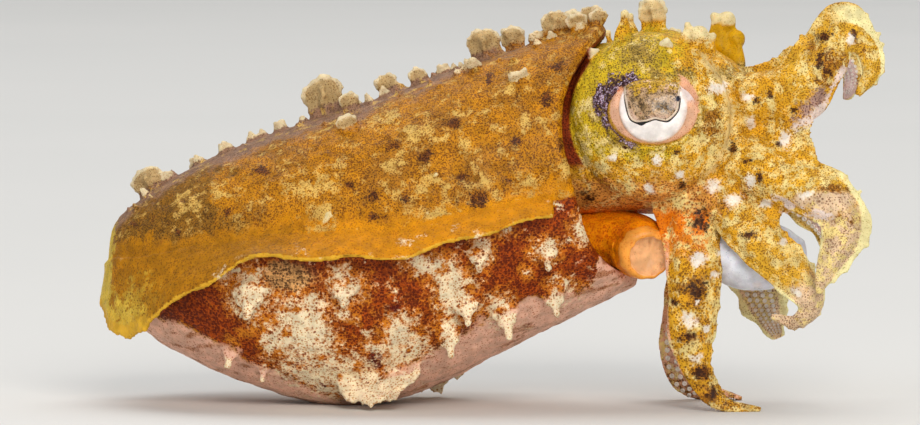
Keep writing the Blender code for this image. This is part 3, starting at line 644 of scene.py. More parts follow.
@dataclass(frozen=True)
class MantleForm:
    """The bag of the body: sections square to a straight axis from the tail to the collar."""

    tail: Row = (-42.1, 0.0, 13.6)
    collar: Row = (11.6, 0.0, 26.4)
    # station along the axis, height of the back over it, depth of the belly under it, half width
    shape: Rows = (
        (0.00, 0.0, 0.0, 0.0), (0.04, 5.6, 5.8, 5.4), (0.12, 8.0, 10.4, 9.4), (0.25, 10.3, 15.6, 12.6),
        (0.40, 11.5, 19.7, 14.4), (0.55, 12.3, 20.2, 15.0), (0.70, 13.1, 18.4, 14.6),
        (0.85, 14.3, 16.2, 13.5), (1.00, 15.0, 14.0, 12.2),
    )
    lip_back: float = 4.6
    lip_side: float = -2.0
    lip_belly: float = 3.6
    lip_start: float = 0.72
    tail_fade: float = 0.1

    @property
    def axes(self) -> Array:
        """Rows of the directions along the body, over it and across it."""
        ahead = unit(np.subtract(self.collar, self.tail))
        return np.array([ahead, (-ahead[2], 0.0, ahead[0]), (0.0, 1.0, 0.0)])

    @property
    def length(self) -> float:
        """From the tail to the collar."""
        return float(np.linalg.norm(np.subtract(self.collar, self.tail)))

    def point(self, station: Array, angle: Array, grow: float = 0.0, share: float = 1.0,
              lip: float = 1.0) -> Array:
        """Points on the bag.

        Formula: tail + forward along + height over cos(angle) + half width across sin(angle); the
        height is the back's or the belly's, and the collar is drawn forward over the neck.

        Args:
            station: shares of the way along the axis.
            angle: radians round from the back towards the left.
            grow: distance off the surface.
            share: scale of the section.
            lip: how much of the collar's shape counts.
        Returns:
            Rows of x, y, z.
        """
        station, angle = np.broadcast_arrays(np.asarray(station, float), np.asarray(angle, float))
        back, belly, half = np.moveaxis(table(self.shape, station), -1, 0)
        up, across = np.cos(angle), np.sin(angle)
        ease = smooth(self.lip_start, 1, station)
        reach = (self.lip_side + (self.lip_back - self.lip_side) * np.maximum(up, 0) ** 3
                 + self.lip_belly * np.maximum(-up, 0) ** 5) * ease
        forward = station * self.length + lip * reach - grow * np.clip(1 - station / self.tail_fade, 0, 1)
        height = (np.where(up > 0, back, belly) * share + grow) * up
        offset = (half * share + grow) * across
        return np.array(self.tail) + np.stack([forward, height, offset], -1) @ self.axes

    def frame_at(self, station: float, angle: float) -> tuple[Array, Array, Array]:
        """A place on the bag.

        Args:
            station: share of the way along the axis.
            angle: radians round from the back towards the left.
        Returns:
            The place, and the outward and forward directions there.
        """
        step = 0.01
        forward = self.point(station + step, angle) - self.point(station - step, angle)
        round_by = self.point(station, angle + step) - self.point(station, angle - step)
        return self.point(station, angle), unit(np.cross(forward, round_by)), unit(forward)

    def spot(self, x: float, z: float) -> tuple[float, float]:
        """The place on the left flank at the given x and z.

        Args:
            x: millimetres forward.
            z: millimetres over the ground.
        Returns:
            Its station and its angle.
        """
        station, angle = np.meshgrid(np.linspace(0.03, 0.97, 150), np.radians(np.arange(5, 176)),
                                     indexing="ij")
        points = self.point(station, angle)
        found = np.argmin((points[..., 0] - x) ** 2 + (points[..., 2] - z) ** 2)
        return float(station.flat[found]), float(angle.flat[found])

    def place_of(self, points: Array) -> tuple[Array, Array]:
        """Station and height over the axis of any points."""
        rows = (points - self.tail) @ self.axes.T
        return rows[:, 0] / self.length, rows[:, 1]

    def shell(self) -> Shell:
        """The bag: its sections, then the collar turned in to the floor of the mantle opening.

        Returns:
            A closed shell.
        """
        stations = spline(np.array(self.shape)[:, :1], np.linspace(0.012, 1, 110))
        angles = circle(110)
        inner = [self.point(1 - 0.1 * t, angles, share=0.88 - 0.04 * t, lip=1 - t) for t in (0.0, 0.5, 1.0)]
        lip = self.point(1.008, angles, share=0.94)
        return lofted(np.concatenate([self.point(stations, angles[None]), lip[None], inner]))


@dataclass(frozen=True)
class FinForm:
    """A wavy flap from the tail to the collar along the widest line of the mantle."""

    mantle: MantleForm
    # station, rise of the root over the axis, width, droop, sweep to the rear
    shape: Rows = (
        (0.012, 1.6, 3.6, 60.0, 64.0), (0.050, 2.0, 7.8, 66.0, 44.0), (0.120, 1.4, 7.4, 60.0, 22.0),
        (0.220, 0.8, 5.4, 38.0, 6.0), (0.340, 0.4, 4.4, 18.0, 0.0), (0.500, -0.6, 4.2, 33.0, 0.0),
        (0.620, -1.8, 4.2, 36.0, 0.0), (0.780, -1.8, 3.8, 34.0, 0.0), (0.960, -2.4, 2.8, 30.0, 0.0),
    )
    waves: float = 5.5
    wave_tilt: float = 3.0
    root_half: float = 1.1
    edge_half: float = 0.27
    midline: float = 0.25

    def root_rise(self, station: Array) -> Array:
        """Height of the fin's root over the body's axis."""
        return table(self.shape, station)[..., 0]

    def grid(self, side: Side, shares: Array, count: int = 170) -> Shell:
        """Middles of the fin.

        Formula: root + share x width x outward, where outward leaves the flank sideways, droops and
        sweeps back, and a sine along the body tilts it and makes it wider and narrower; a finer
        sine frills the edge.

        Args:
            side: the side of the animal.
            shares: places from the root, 0, to the edge, 1.
            count: sections along the body.
        Returns:
            The grid of middles and its normals.
        """
        shape = np.array(self.shape)
        station = spline(shape[:, :1], steps(count))[:, 0]
        rise, width, droop, sweep = table(shape, station).T
        back, belly, _ = table(self.mantle.shape, station).T
        ahead, above, across = self.mantle.axes
        wave = np.sin(2 * np.pi * self.waves * station + side.value)
        frill = np.sin(2 * np.pi * 31 * station + 2 * np.sin(2 * np.pi * 7 * station))
        droop, sweep = np.radians(droop + self.wave_tilt * wave), np.radians(sweep)
        level = np.cos(sweep)[:, None] * across - np.sin(sweep)[:, None] * ahead
        out = np.cos(droop)[:, None] * level - np.sin(droop)[:, None] * above
        angle = np.arccos(np.clip(rise / np.where(rise > 0, back, belly), -1, 1))
        root = self.mantle.point(station, angle, -0.5)
        normal = unit(np.cross(np.gradient(root, axis=0), out))
        reach = shares[None] * (0.5 + width * (1 + 0.03 * wave))[:, None]
        ragged = smooth(0.16, 0.06, station)
        reach = reach + (0.2 * frill * ragged)[:, None] * shares[None] ** 6
        sag = (-0.35 * (shares * (1 - shares))[None] * width[:, None]
               + (0.1 * frill * ragged)[:, None] * shares[None] ** 3)
        points = root[:, None] + reach[..., None] * out[:, None] - sag[..., None] * normal[:, None]
        points[..., 1] = np.maximum(points[..., 1], self.midline + self.edge_half)
        return side.place(points), side.place(np.broadcast_to(normal[:, None], points.shape))

    def shell(self, side: Side) -> Shell:
        """The fin as a plate that thickens towards its root like a fillet.

        Args:
            side: the side of the animal.
        Returns:
            A closed shell.
        """
        shares = steps(26)
        middle, normal = self.grid(side, shares)
        half = self.edge_half + (self.root_half - self.edge_half) * (1 - shares) ** 4
        return slab(middle, normal, np.broadcast_to(half, middle.shape[:2]))


@dataclass(frozen=True)
class FlapForm:
    """A lobed skirt of skin under the belly, on which the animal leans."""

    mantle: MantleForm
    front: dict[Side, float] = field(default_factory=lambda: {Side.RIGHT: 0.59, Side.LEFT: 0.68})
    out: dict[Side, Row] = field(default_factory=lambda: {Side.RIGHT: (0.1, 0.8, -0.6),
                                                          Side.LEFT: (0.1, 0.45, -0.9)})
    span: float = 0.17
    angle: float = 148.0
    width: float = 4.4
    lobes: float = 3.5
    small_lobes: float = 9.5
    rows: int = 60
    columns: int = 20

    def shell(self, side: Side) -> Shell:
        """The skirt.

        Formula: root line on the belly + share x width x outward; the width swells in the middle
        and a cosine cuts it into lobes, each with smaller ones.

        Args:
            side: the side of the animal.
        Returns:
            A closed shell.
        """
        share, shares = steps(self.rows), steps(self.columns)
        root = self.mantle.point(self.front[side] - self.span * share, math.radians(self.angle), -0.8)
        out = unit(self.out[side])
        lobes = np.cos(2 * np.pi * self.lobes * share + side.value)
        small = np.cos(2 * np.pi * self.small_lobes * share + 1.0)
        width = self.width * np.sin(np.pi * (0.05 + 0.9 * share)) ** 0.6 * (1 + 0.16 * lobes + 0.06 * small)
        normal = np.broadcast_to(unit((0.0, -out[2], out[1])), (self.rows, self.columns, 3))
        middle = root[:, None] + (shares[None] * (width + 0.8)[:, None])[..., None] * out
        middle = middle + (0.25 * np.outer(lobes, shares**2))[..., None] * normal
        half = np.broadcast_to(0.3 + 0.5 * (1 - shares) ** 2, (self.rows, self.columns))
        return slab(side.place(middle), side.place(normal), half)


@dataclass(frozen=True)
class Papilla:
    """A lobed crown of skin: where it stands, how tall and wide it is, and which way it lies."""

    base: Array
    out: Array
    across: Array
    height: float
    width: float
    crossing: bool = False  # a second blade across the first, without a rim of its own
    root: float = 0.44  # half width of the root as a share of the width
    big: float = 2.6  # height of a thick crown with a second blade

    @classmethod
    def grown(cls, base: Array, out: Array, across: Array, height: float, width: float) -> list["Papilla"]:
        """A crown, and a big one's second blade.

        Args:
            base: its root.
            out: the way that it stands.
            across: the way that it is wide.
            height: from the skin to its top.
            width: of its blade.
        Returns:
            One blade or two that cross.
        """
        made = [cls(base, out, across, height, width)]
        if height >= cls.big:
            made.append(cls(base, out, np.cross(unit(out), unit(across)), 0.86 * height, 0.7 * width, True))
        return made

    def shells(self, seed: int) -> list[Shell]:
        """The crown as a flattened heart with knobs round its outline and on its faces.

        Formula: knobs at equal angles round the hub, on an ellipse, moved by seeded noise.

        Args:
            seed: of the noise.
        Returns:
            Balls that overlap.
        """
        rng = np.random.default_rng(seed)
        out, across = unit(self.out), unit(self.across)
        normal = np.cross(out, across)
        big = self.height >= self.big
        thick = (0.26 if big else 0.36) * self.width
        hub = self.base + 0.55 * self.height * out
        axes = np.array([across, normal, out])
        parts = [
            ball(hub, (0.38 * self.width, 0.5 * thick, 0.36 * self.height), axes),
            ball(self.base + 0.16 * self.height * out,
                 (self.root * self.width, 0.6 * thick, 0.42 * self.height), axes),
        ]
        count = int(np.clip(round(2.4 * self.width), 3, 12))
        turn = np.radians(np.linspace(-118, 118, count)) + rng.uniform(-0.1, 0.1, count)
        size = np.clip(0.95 * self.width / count, 0.32, 0.78) * rng.uniform(0.85, 1.2, count)
        for a, r in zip(turn, size):
            stand = rng.uniform(0.88, 1.14)
            middle = (hub + (0.36 * stand * self.height * np.cos(a)) * out
                      + (0.40 * self.width * np.sin(a)) * across + rng.uniform(-0.3, 0.3) * thick * normal)
            parts.append(bead(middle, r, 9))
        for _ in range(5 if big else 0):
            u, v = rng.uniform(-0.24, 0.24) * self.width, rng.uniform(-0.2, 0.25) * self.height
            for face in (-1, 1):
                r = rng.uniform(0.3, 0.42)
                parts.append(bead(hub + u * across + v * out + face * 0.36 * thick * normal, r, 7))
        return parts

    def fields(self, points: Array) -> tuple[Array, Array]:
        """How far points belong to the crown and to its pale rim.

        Formula: the rise off the skin and the distance from the crown's line, both as shares of its
        size, through smoothsteps; the rim is the outer part of the ellipse round the hub.

        Args:
            points: rows of x, y, z.
        Returns:
            The crown's and the rim's value for each point.
        """
        out, across = unit(self.out), unit(self.across)
        local = points - self.base
        rise, wide = local @ out, local @ across
        beside = np.linalg.norm(local - rise[:, None] * out, axis=1)
        inside = (smooth(0.16, 0.44, rise / self.height) * smooth(0.8, 0.62, beside / self.width)
                  * (rise < 1.5 * self.height))
        away = np.hypot(wide / (0.5 * self.width), (rise - 0.5 * self.height) / (0.5 * self.height))
        rim = inside * smooth(0.66, 0.95, away) * smooth(0.3, 0.5, rise / self.height)
        if self.height < 1.3:
            rim = 0.8 * inside
        return inside, 0 * rim if self.crossing else rim


@dataclass(frozen=True)
class SoftPoint:
    """A papilla that hangs from the flank: a broad wrinkled root and a blunt drooping tip."""

    base: Array
    out: Array
    across: Array
    length: float
    width: float

    def shells(self) -> list[Shell]:
        """The point: a tapering tube along a line that bends downwards, and knobs at its root.

        Returns:
            A tube and balls that overlap.
        """
        out = unit(self.out)
        across = unit(self.across - np.dot(self.across, out) * out)
        t = np.linspace(-0.2, 1, 12)
        bend = 0.12 * self.length * np.maximum(t, 0)[:, None] ** 2 * np.array([0.0, 0.0, -1.0])
        line = self.base + (0.8 * self.length * t)[:, None] * out + bend
        size = self.width * (0.72 - 0.42 * smooth(-0.1, 0.85, t)) * (1 + 0.08 * np.cos(9 * t))
        parts = [tube(line, np.maximum(size, 0.42), 16, 0.8), bead(line[-1], max(size[-1], 0.46), 8)]
        for face, drop in itertools.product((-1, 1), (0.0, 0.35)):
            root = self.base + 0.62 * face * self.width * (1 - drop) * across + drop * self.length * out
            parts.append(bead(root, 0.46 * self.width * (1 - 0.7 * drop), 8))
        return parts


@dataclass(frozen=True)
class HeadForm:
    """A rounded block from the neck to the crown of arms, with an eye bulge on each side."""

    mantle: MantleForm
    # x and z of the middle, half height, half width, pitch
    shape: Rows = (
        (12.0, 29.7, 8.8, 9.4, 8.0), (17.8, 31.0, 10.0, 10.2, 0.0), (23.0, 30.0, 9.6, 9.8, -7.0),
        (27.0, 28.6, 8.0, 8.4, -12.0), (28.8, 28.1, 4.6, 5.0, -12.0),
    )
    bulge: Row = (18.4, 6.8, 31.9)
    bulge_size: Row = (9.0, 6.0, 9.2)
    eye: Row = (18.9, 9.3, 32.6)
    eye_size: Row = (5.9, 4.2, 4.7)
    lid_size: Row = (5.05, 3.75)
    lid_half: float = 0.42

    def cup_point(self, rise: float) -> Array:
        """A place just off the floor of the mantle opening."""
        ahead, above, _ = self.mantle.axes
        return np.array(self.mantle.tail) + (0.90 * self.mantle.length + 0.4) * ahead + rise * above

    def shell(self) -> Shell:
        """The head: middle + half height up cos + half width across sin, square to a bent axis.

        Returns:
            A closed shell.
        """
        neck = self.cup_point(3.0)
        pitch = math.degrees(math.asin(self.mantle.axes[0][2]))
        shape = np.vstack([(neck[0], neck[2], 7.5, 8.4, pitch), self.shape])
        x, z, high, wide, pitch = spline(shape, steps(60)).T
        pitch = np.radians(pitch)
        up = np.stack([-np.sin(pitch), 0 * pitch, np.cos(pitch)], axis=-1)
        turn = circle(72)[None, :, None]
        middle = np.stack([x, 0 * x, z], axis=-1)
        return lofted(middle[:, None] + np.cos(turn) * (high[:, None] * up)[:, None]
                      + np.sin(turn) * wide[:, None, None] * np.array([0.0, 1.0, 0.0]))

    def on_bulge(self, x: Array, z: Array, proud: float = 0.0) -> Array:
        """Points of the left eye bulge.

        Args:
            x: their places forward.
            z: their heights.
            proud: how far off the bulge.
        Returns:
            Rows of x, y, z.
        """
        u, v = (x - self.bulge[0]) / self.bulge_size[0], (z - self.bulge[2]) / self.bulge_size[2]
        y = self.bulge[1] + self.bulge_size[1] * np.sqrt(np.maximum(1 - u**2 - v**2, 0)) + proud
        return np.stack([x, y, z], axis=-1)

    def lid(self, side: Side) -> Shell:
        """The fold round an eye: a ring on the bulge, thickest behind and below the eye.

        Args:
            side: the side of the animal.
        Returns:
            A closed shell.
        """
        count, sides = 96, 12
        turn = circle(count)
        x = self.eye[0] + self.lid_size[0] * np.cos(turn)
        z = self.eye[2] + self.lid_size[1] * np.sin(turn)
        inward = unit(np.stack([x - self.eye[0], 0 * x, z - self.eye[2]], axis=-1))
        half = self.lid_half * (1 + 0.25 * np.cos(turn - 3.9))[:, None, None]
        section = circle(sides)[None, :, None]
        ring = half * (np.cos(section) * inward[:, None] + np.sin(section) * np.array([0.0, 1.0, 0.0]))
        rings = side.place(self.on_bulge(x, z, -0.1)[:, None] + ring)
        return outward((rings.reshape(-1, 3), wall(count, sides, loop=True)))


@dataclass(frozen=True)
class ArmForm:
    """An arm, as on the left side: its path and, from root to tip, the way its outer face looks,
    its half width, and the reach of the skin flap on its upper and lower edge."""

    name: str
    side: Side
    path: Rows
    outward: Rows
    width: Row
    upper: Row
    lower: Row
    thickness: float = 0.74
    edge: float = 0.27

    def frames(self, share: Array) -> tuple[Array, Array, Array, Array]:
        """The arm's frames.

        Args:
            share: places along the path, from 0 to 1.
        Returns:
            Middles, outward and across directions, and rows of half width and both flaps' reach.
        """
        middle = spline(self.path, share)
        forward = unit(spline(self.path, share + 0.004) - spline(self.path, share - 0.004) + 1e-9)
        outward_by = spline(self.outward, share)
        outward_by = unit(outward_by - np.sum(outward_by * forward, axis=-1, keepdims=True) * forward)
        sizes = np.stack([along(size, share) for size in (self.width, self.upper, self.lower)], -1)
        return middle, outward_by, np.cross(forward, outward_by), np.maximum(sizes, 0)

    def shell(self) -> Shell:
        """The arm.

        Formula: across runs from the upper edge to the lower one; the outer face stands off the
        middle by thickness x sqrt(1 - (across / half width)^2), the inner one by two thirds of
        that, and both by the thin edge's half thickness where the skin flap goes on.

        Returns:
            A closed shell.
        """
        share = steps(110)
        middle, out, across, sizes = self.frames(share)
        width, upper, lower = sizes.T
        wave = np.sin(2 * np.pi * 4.5 * share + 3 * self.side.value) * smooth(0.2, 0.5, share)
        high = width + upper * (1 + 0.22 * wave)
        low = width + lower * (1 - 0.22 * wave)
        q = np.cos(np.linspace(0, np.pi, 19))
        place = np.where(q > 0, q * high[:, None], q * low[:, None])
        core = np.sqrt(np.clip(1 - (place / width[:, None]) ** 2, 0, 1))
        thick = (self.thickness * width)[:, None]
        edge = np.minimum(self.edge, 0.6 * thick)
        flutter = 0.3 * wave[:, None] * np.maximum(np.abs(place) - 0.8 * width[:, None], 0)
        outer = np.maximum(0.95 * thick * core, edge) + flutter
        inner = -np.maximum(0.62 * thick * core, edge) + flutter
        a = np.concatenate([place, place[:, ::-1]], axis=1)
        b = np.concatenate([outer, inner[:, ::-1]], axis=1)
        rings = middle[:, None] + a[..., None] * across[:, None] + b[..., None] * out[:, None]
        return lofted(self.side.place(rings))


def arm_forms() -> list[ArmForm]:
    """The eight arms in the pose: the upper pair lifted, the next two curled, the lowest standing.

    Returns:
        The arms from the highest pair to the lowest, the right one of each pair first.
    """
    tall = ((0.1, 1, 0.35), (0.1, 1, 0.1), (0.3, 1, 0.1))
    bent = ((0.3, 1, 0.1), (0.2, 1, 0.1), (0.5, 0.9, 0.0))
    legs = ((0.0, 1, -0.1), (0.15, 1, 0.1), (-0.2, 0.2, 1.0))
    return [
        ArmForm(
            "arm_1", Side.RIGHT,
            ((24.5, 3.7, 33.8), (30.4, 5.4, 33.9), (34.4, 6.3, 35.3), (37.2, 6.7, 38.0),
             (39.4, 6.6, 40.5), (41.6, 6.3, 39.6), (42.3, 6.0, 36.9), (40.8, 5.8, 34.3)),
            tall, (3.2, 3.0, 2.8, 2.1, 1.6, 1.2, 0.9, 0.35), (0.1, 0.1, 0.2, 1.4, 2.1, 1.0, 0.4, 0.05),
            (0.1, 0.7, 1.2, 0.7, 0.0, 0.0, 0.0, 0.0)),
        ArmForm(
            "arm_1", Side.LEFT,
            ((24.5, 3.7, 33.8), (29.6, 5.4, 33.9), (33.2, 6.4, 34.9), (36.0, 6.6, 37.0),
             (38.4, 6.3, 37.8), (39.8, 5.9, 36.2), (39.2, 5.7, 33.4)),
            tall, (3.2, 3.0, 2.3, 1.4, 0.4), (0.3, 0.6, 1.2, 1.4, 0.1), (0.2, 1.1, 0.5, 0.0, 0.0)),
        ArmForm(
            "arm_2", Side.RIGHT,
            ((25.0, 6.0, 29.2), (31.0, 8.7, 26.2), (35.6, 10.2, 24.3), (38.8, 11.0, 22.2),
             (39.3, 11.3, 19.0), (37.9, 11.4, 16.0), (36.9, 11.3, 13.0)),
            bent, (2.7, 2.5, 1.8, 0.4), (0.2, 0.8, 1.2, 0.1), (0.1, 0.4, 0.4, 0.0)),
        ArmForm(
            "arm_2", Side.LEFT,
            ((25.0, 6.0, 29.2), (30.2, 8.5, 25.8), (34.0, 9.6, 22.6), (36.9, 9.8, 19.6),
             (38.0, 9.6, 16.4), (37.4, 9.4, 13.8)),
            bent, (2.7, 2.4, 1.6, 0.4), (0.2, 0.8, 1.1, 0.1), (0.1, 0.4, 0.4, 0.0)),
        ArmForm(
            "arm_3", Side.RIGHT,
            ((24.5, 6.4, 25.4), (28.4, 8.8, 20.8), (31.6, 9.2, 17.4), (34.6, 9.1, 14.4),
             (36.0, 8.7, 11.6), (34.3, 8.2, 9.8), (31.6, 7.8, 10.4)),
            ((0.3, 1, -0.1), (0.35, 1, 0.1), (0.6, 0.8, -0.3)),
            (2.6, 2.4, 1.8, 1.0, 0.35), (0.1, 0.4, 0.6, 0.1, 0.0), (0.1, 0.4, 0.6, 0.1, 0.0)),
        ArmForm(
            "arm_3", Side.LEFT,
            ((24.0, 6.2, 24.6), (27.2, 8.2, 18.6), (28.9, 8.7, 14.0), (30.3, 8.7, 10.2),
             (31.8, 8.3, 6.9)),
            ((0.3, 1, -0.1), (0.2, 1, 0.0), (0.3, 0.9, 0.0)),
            (2.5, 2.2, 1.8, 0.5), (0.1, 0.4, 1.1, 0.3), (0.1, 0.4, 1.1, 0.3)),
        ArmForm(
            "arm_4", Side.RIGHT,
            ((21.8, 5.0, 25.0), (23.4, 7.6, 19.0), (23.2, 8.6, 12.8), (23.0, 8.7, 8.0),
             (23.9, 8.7, 3.8), (26.5, 8.6, 0.8), (30.6, 8.4, 0.2)),
            legs, (2.6, 2.75, 2.7, 2.15, 1.4, 1.15, 0.45), (0.1, 0.3, 0.3, 0.3, 0.1, 0.0, 0.0),
            (1.5, 1.0, 0.1, 0.3, 0.1, 0.0, 0.0)),
        ArmForm(
            "arm_4", Side.LEFT,
            ((21.4, 4.8, 24.4), (22.4, 7.0, 17.6), (21.7, 7.6, 11.4), (21.0, 7.7, 6.0),
             (21.6, 7.7, 2.8), (24.2, 7.6, 0.8), (27.8, 7.4, 0.2)),
            ((0.0, 1, -0.1), (0.1, 1, 0.1), (-0.2, 0.2, 1.0)),
            (2.6, 2.4, 2.2, 1.8, 0.5), (0.1, 0.3, 0.3, 0.1, 0.0), (0.1, 0.3, 0.3, 0.1, 0.0)),
    ]


def web(first: ArmForm, second: ArmForm, reach: tuple[float, float]) -> Shell:
    """The skin between two neighbouring arms.

    Formula: straight lines from one arm's middle to the other's, at shares that grow together; the
    free margin is a hollow curve, and a sine bows the sheet inwards.

    Args:
        first: the upper arm.
        second: the lower arm.
        reach: how far along each arm the sheet goes.
    Returns:
        A closed thin plate.
    """
    s, t = steps(40), np.linspace(0.06, 1, 30)
    a, a_out = first.frames(t * reach[0])[:2]
    b, b_out = second.frames(t * reach[1])[:2]
    hollow = 1 - 0.34 * np.sin(np.pi * s)[None] * t[:, None]
    picked = hollow * (len(t) - 1) * (t[:, None] - t[0]) / (t[-1] - t[0])
    low = np.minimum(picked.astype(int), len(t) - 2)
    part = (picked - low)[..., None]
    start = a[low] * (1 - part) + a[low + 1] * part
    middle = start + s[None, :, None] * (b[low] * (1 - part) + b[low + 1] * part - start)
    out = unit(a_out[:, None] * (1 - s)[None, :, None] + b_out[:, None] * s[None, :, None])
    middle = middle - (0.5 * np.sin(np.pi * s))[None, :, None] * out
    return slab(first.side.place(middle), first.side.place(out), np.full(middle.shape[:2], 0.42))


# Pieces


def shown(obj: bpy.types.Object, nodes: Sequence[str]) -> bpy.types.Object:
    """Puts a finished piece into the frame and reports it.

    Args:
        obj: the piece.
        nodes: the CAD nodes whose place it takes.
    Returns:
        The same piece.
    """
    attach(obj, "root")
    if nodes:
        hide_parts(*nodes)
    obj.data.calc_loop_triangles()
    LOG.info("%s: %d triangles for %s", obj.name, len(obj.data.loop_triangles), ", ".join(nodes) or "detail")
    return obj


def mark_points(points: Array, wander: float = 1.6, uneven: float = 0.34) -> Array:
    """Points at which marks of the side view are read.

    Formula: small noise everywhere makes round marks uneven, and on the left flank wide noise moves
    them, so that no side is a mirror of the other.

    Args:
        points: rows of x, y, z.
        wander: how far marks move on the left flank.
        uneven: how far their outlines wander.
    Returns:
        The moved points.
    """
    drift = np.stack([cloud(points, 9, 2, 3), 0 * points[:, 0], cloud(points, 9, 2, 5)], -1)
    fine = np.stack([cloud(points, 1.3, 3, 13), 0 * points[:, 0], cloud(points, 1.3, 3, 15)], -1)
    return points + uneven * fine + wander * drift * (points[:, 1] > 0)[:, None]


# Living skin of the bag: ochre over rust, its sacs large on the belly, with small wet glints
BODY_FINISH = Skin(
    "wet_cuttlefish_skin_of_body", "#c2800c", "#5e2c04",
    layers=(
        Layer("tan", "#aa7018", "#562a05", 0.50, 0.6),
        # olive: random olive patches, and painted shade that deepens towards the tail
        Layer("olive", "#8c5e14", "#402606", 0.48, 0.6),
        Layer("mauve", "#96725a", "#563a2a", 0.42, 0.4),
        Layer("gold", "#d28a02", "#a05e02", 0.40, 0.4),
        Layer("fleck", "#d6ae5a", "#8a560e", 0.42, 0.8),
        Layer("frill", "#e8d69e", "#b08434", 0.26, 0.7),
        Layer("dark", "#7a4210", "#260f06", 0.64, 0.7),
        Layer("rust", "#ad4a0a", "#4c1003", 0.64, 0.5),
        Layer("ember", "#d2801e", "#761e04", 0.48, 0.7),
        Layer("pink", "#e8b89e", "#b0603e", 0.28, 0.35),
        Layer("streak", "#bc8462", "#84401c", 0.42, 0.6),
        Layer("scar", "#8c2a10", "#420b05", 0.8, 0.4),
        Layer("fin", "#cc8400", "#a86402", 0.36, 0.15),
        # painted shade: the fins, and the gold band along them, darker towards the tail
        Layer("fin_dim", "#a86e02", "#784a02", 0.40, 0.3),
        Layer("fin_pale", "#d6b440", "#a8842a", 0.30, 0.6),
        Layer("fin_blot", "#a8740c", "#664008", 0.42, 0.8),
        Layer("fin_edge", "#d8a62c", "#bc8a20", 0.24, 0.3),
        Layer("window", "#e2aa68", "#340e06", 0.62, 0.3),
        Layer("cream", "#f0dfba", "#b8701a", 0.38, 0.9),
        Layer("crown", "#bc9e6c", "#76562c", 0.34, 0.5),
        Layer("crown_edge", "#dcc9a2", "#a88c60", 0.20, 0.5),
        # painted shade: dark flesh inside the collar, where the mantle turns in round the neck
        Layer("groove", "#8a3d14", "#4f1c08", 0.55, 0.1),
    ),
)


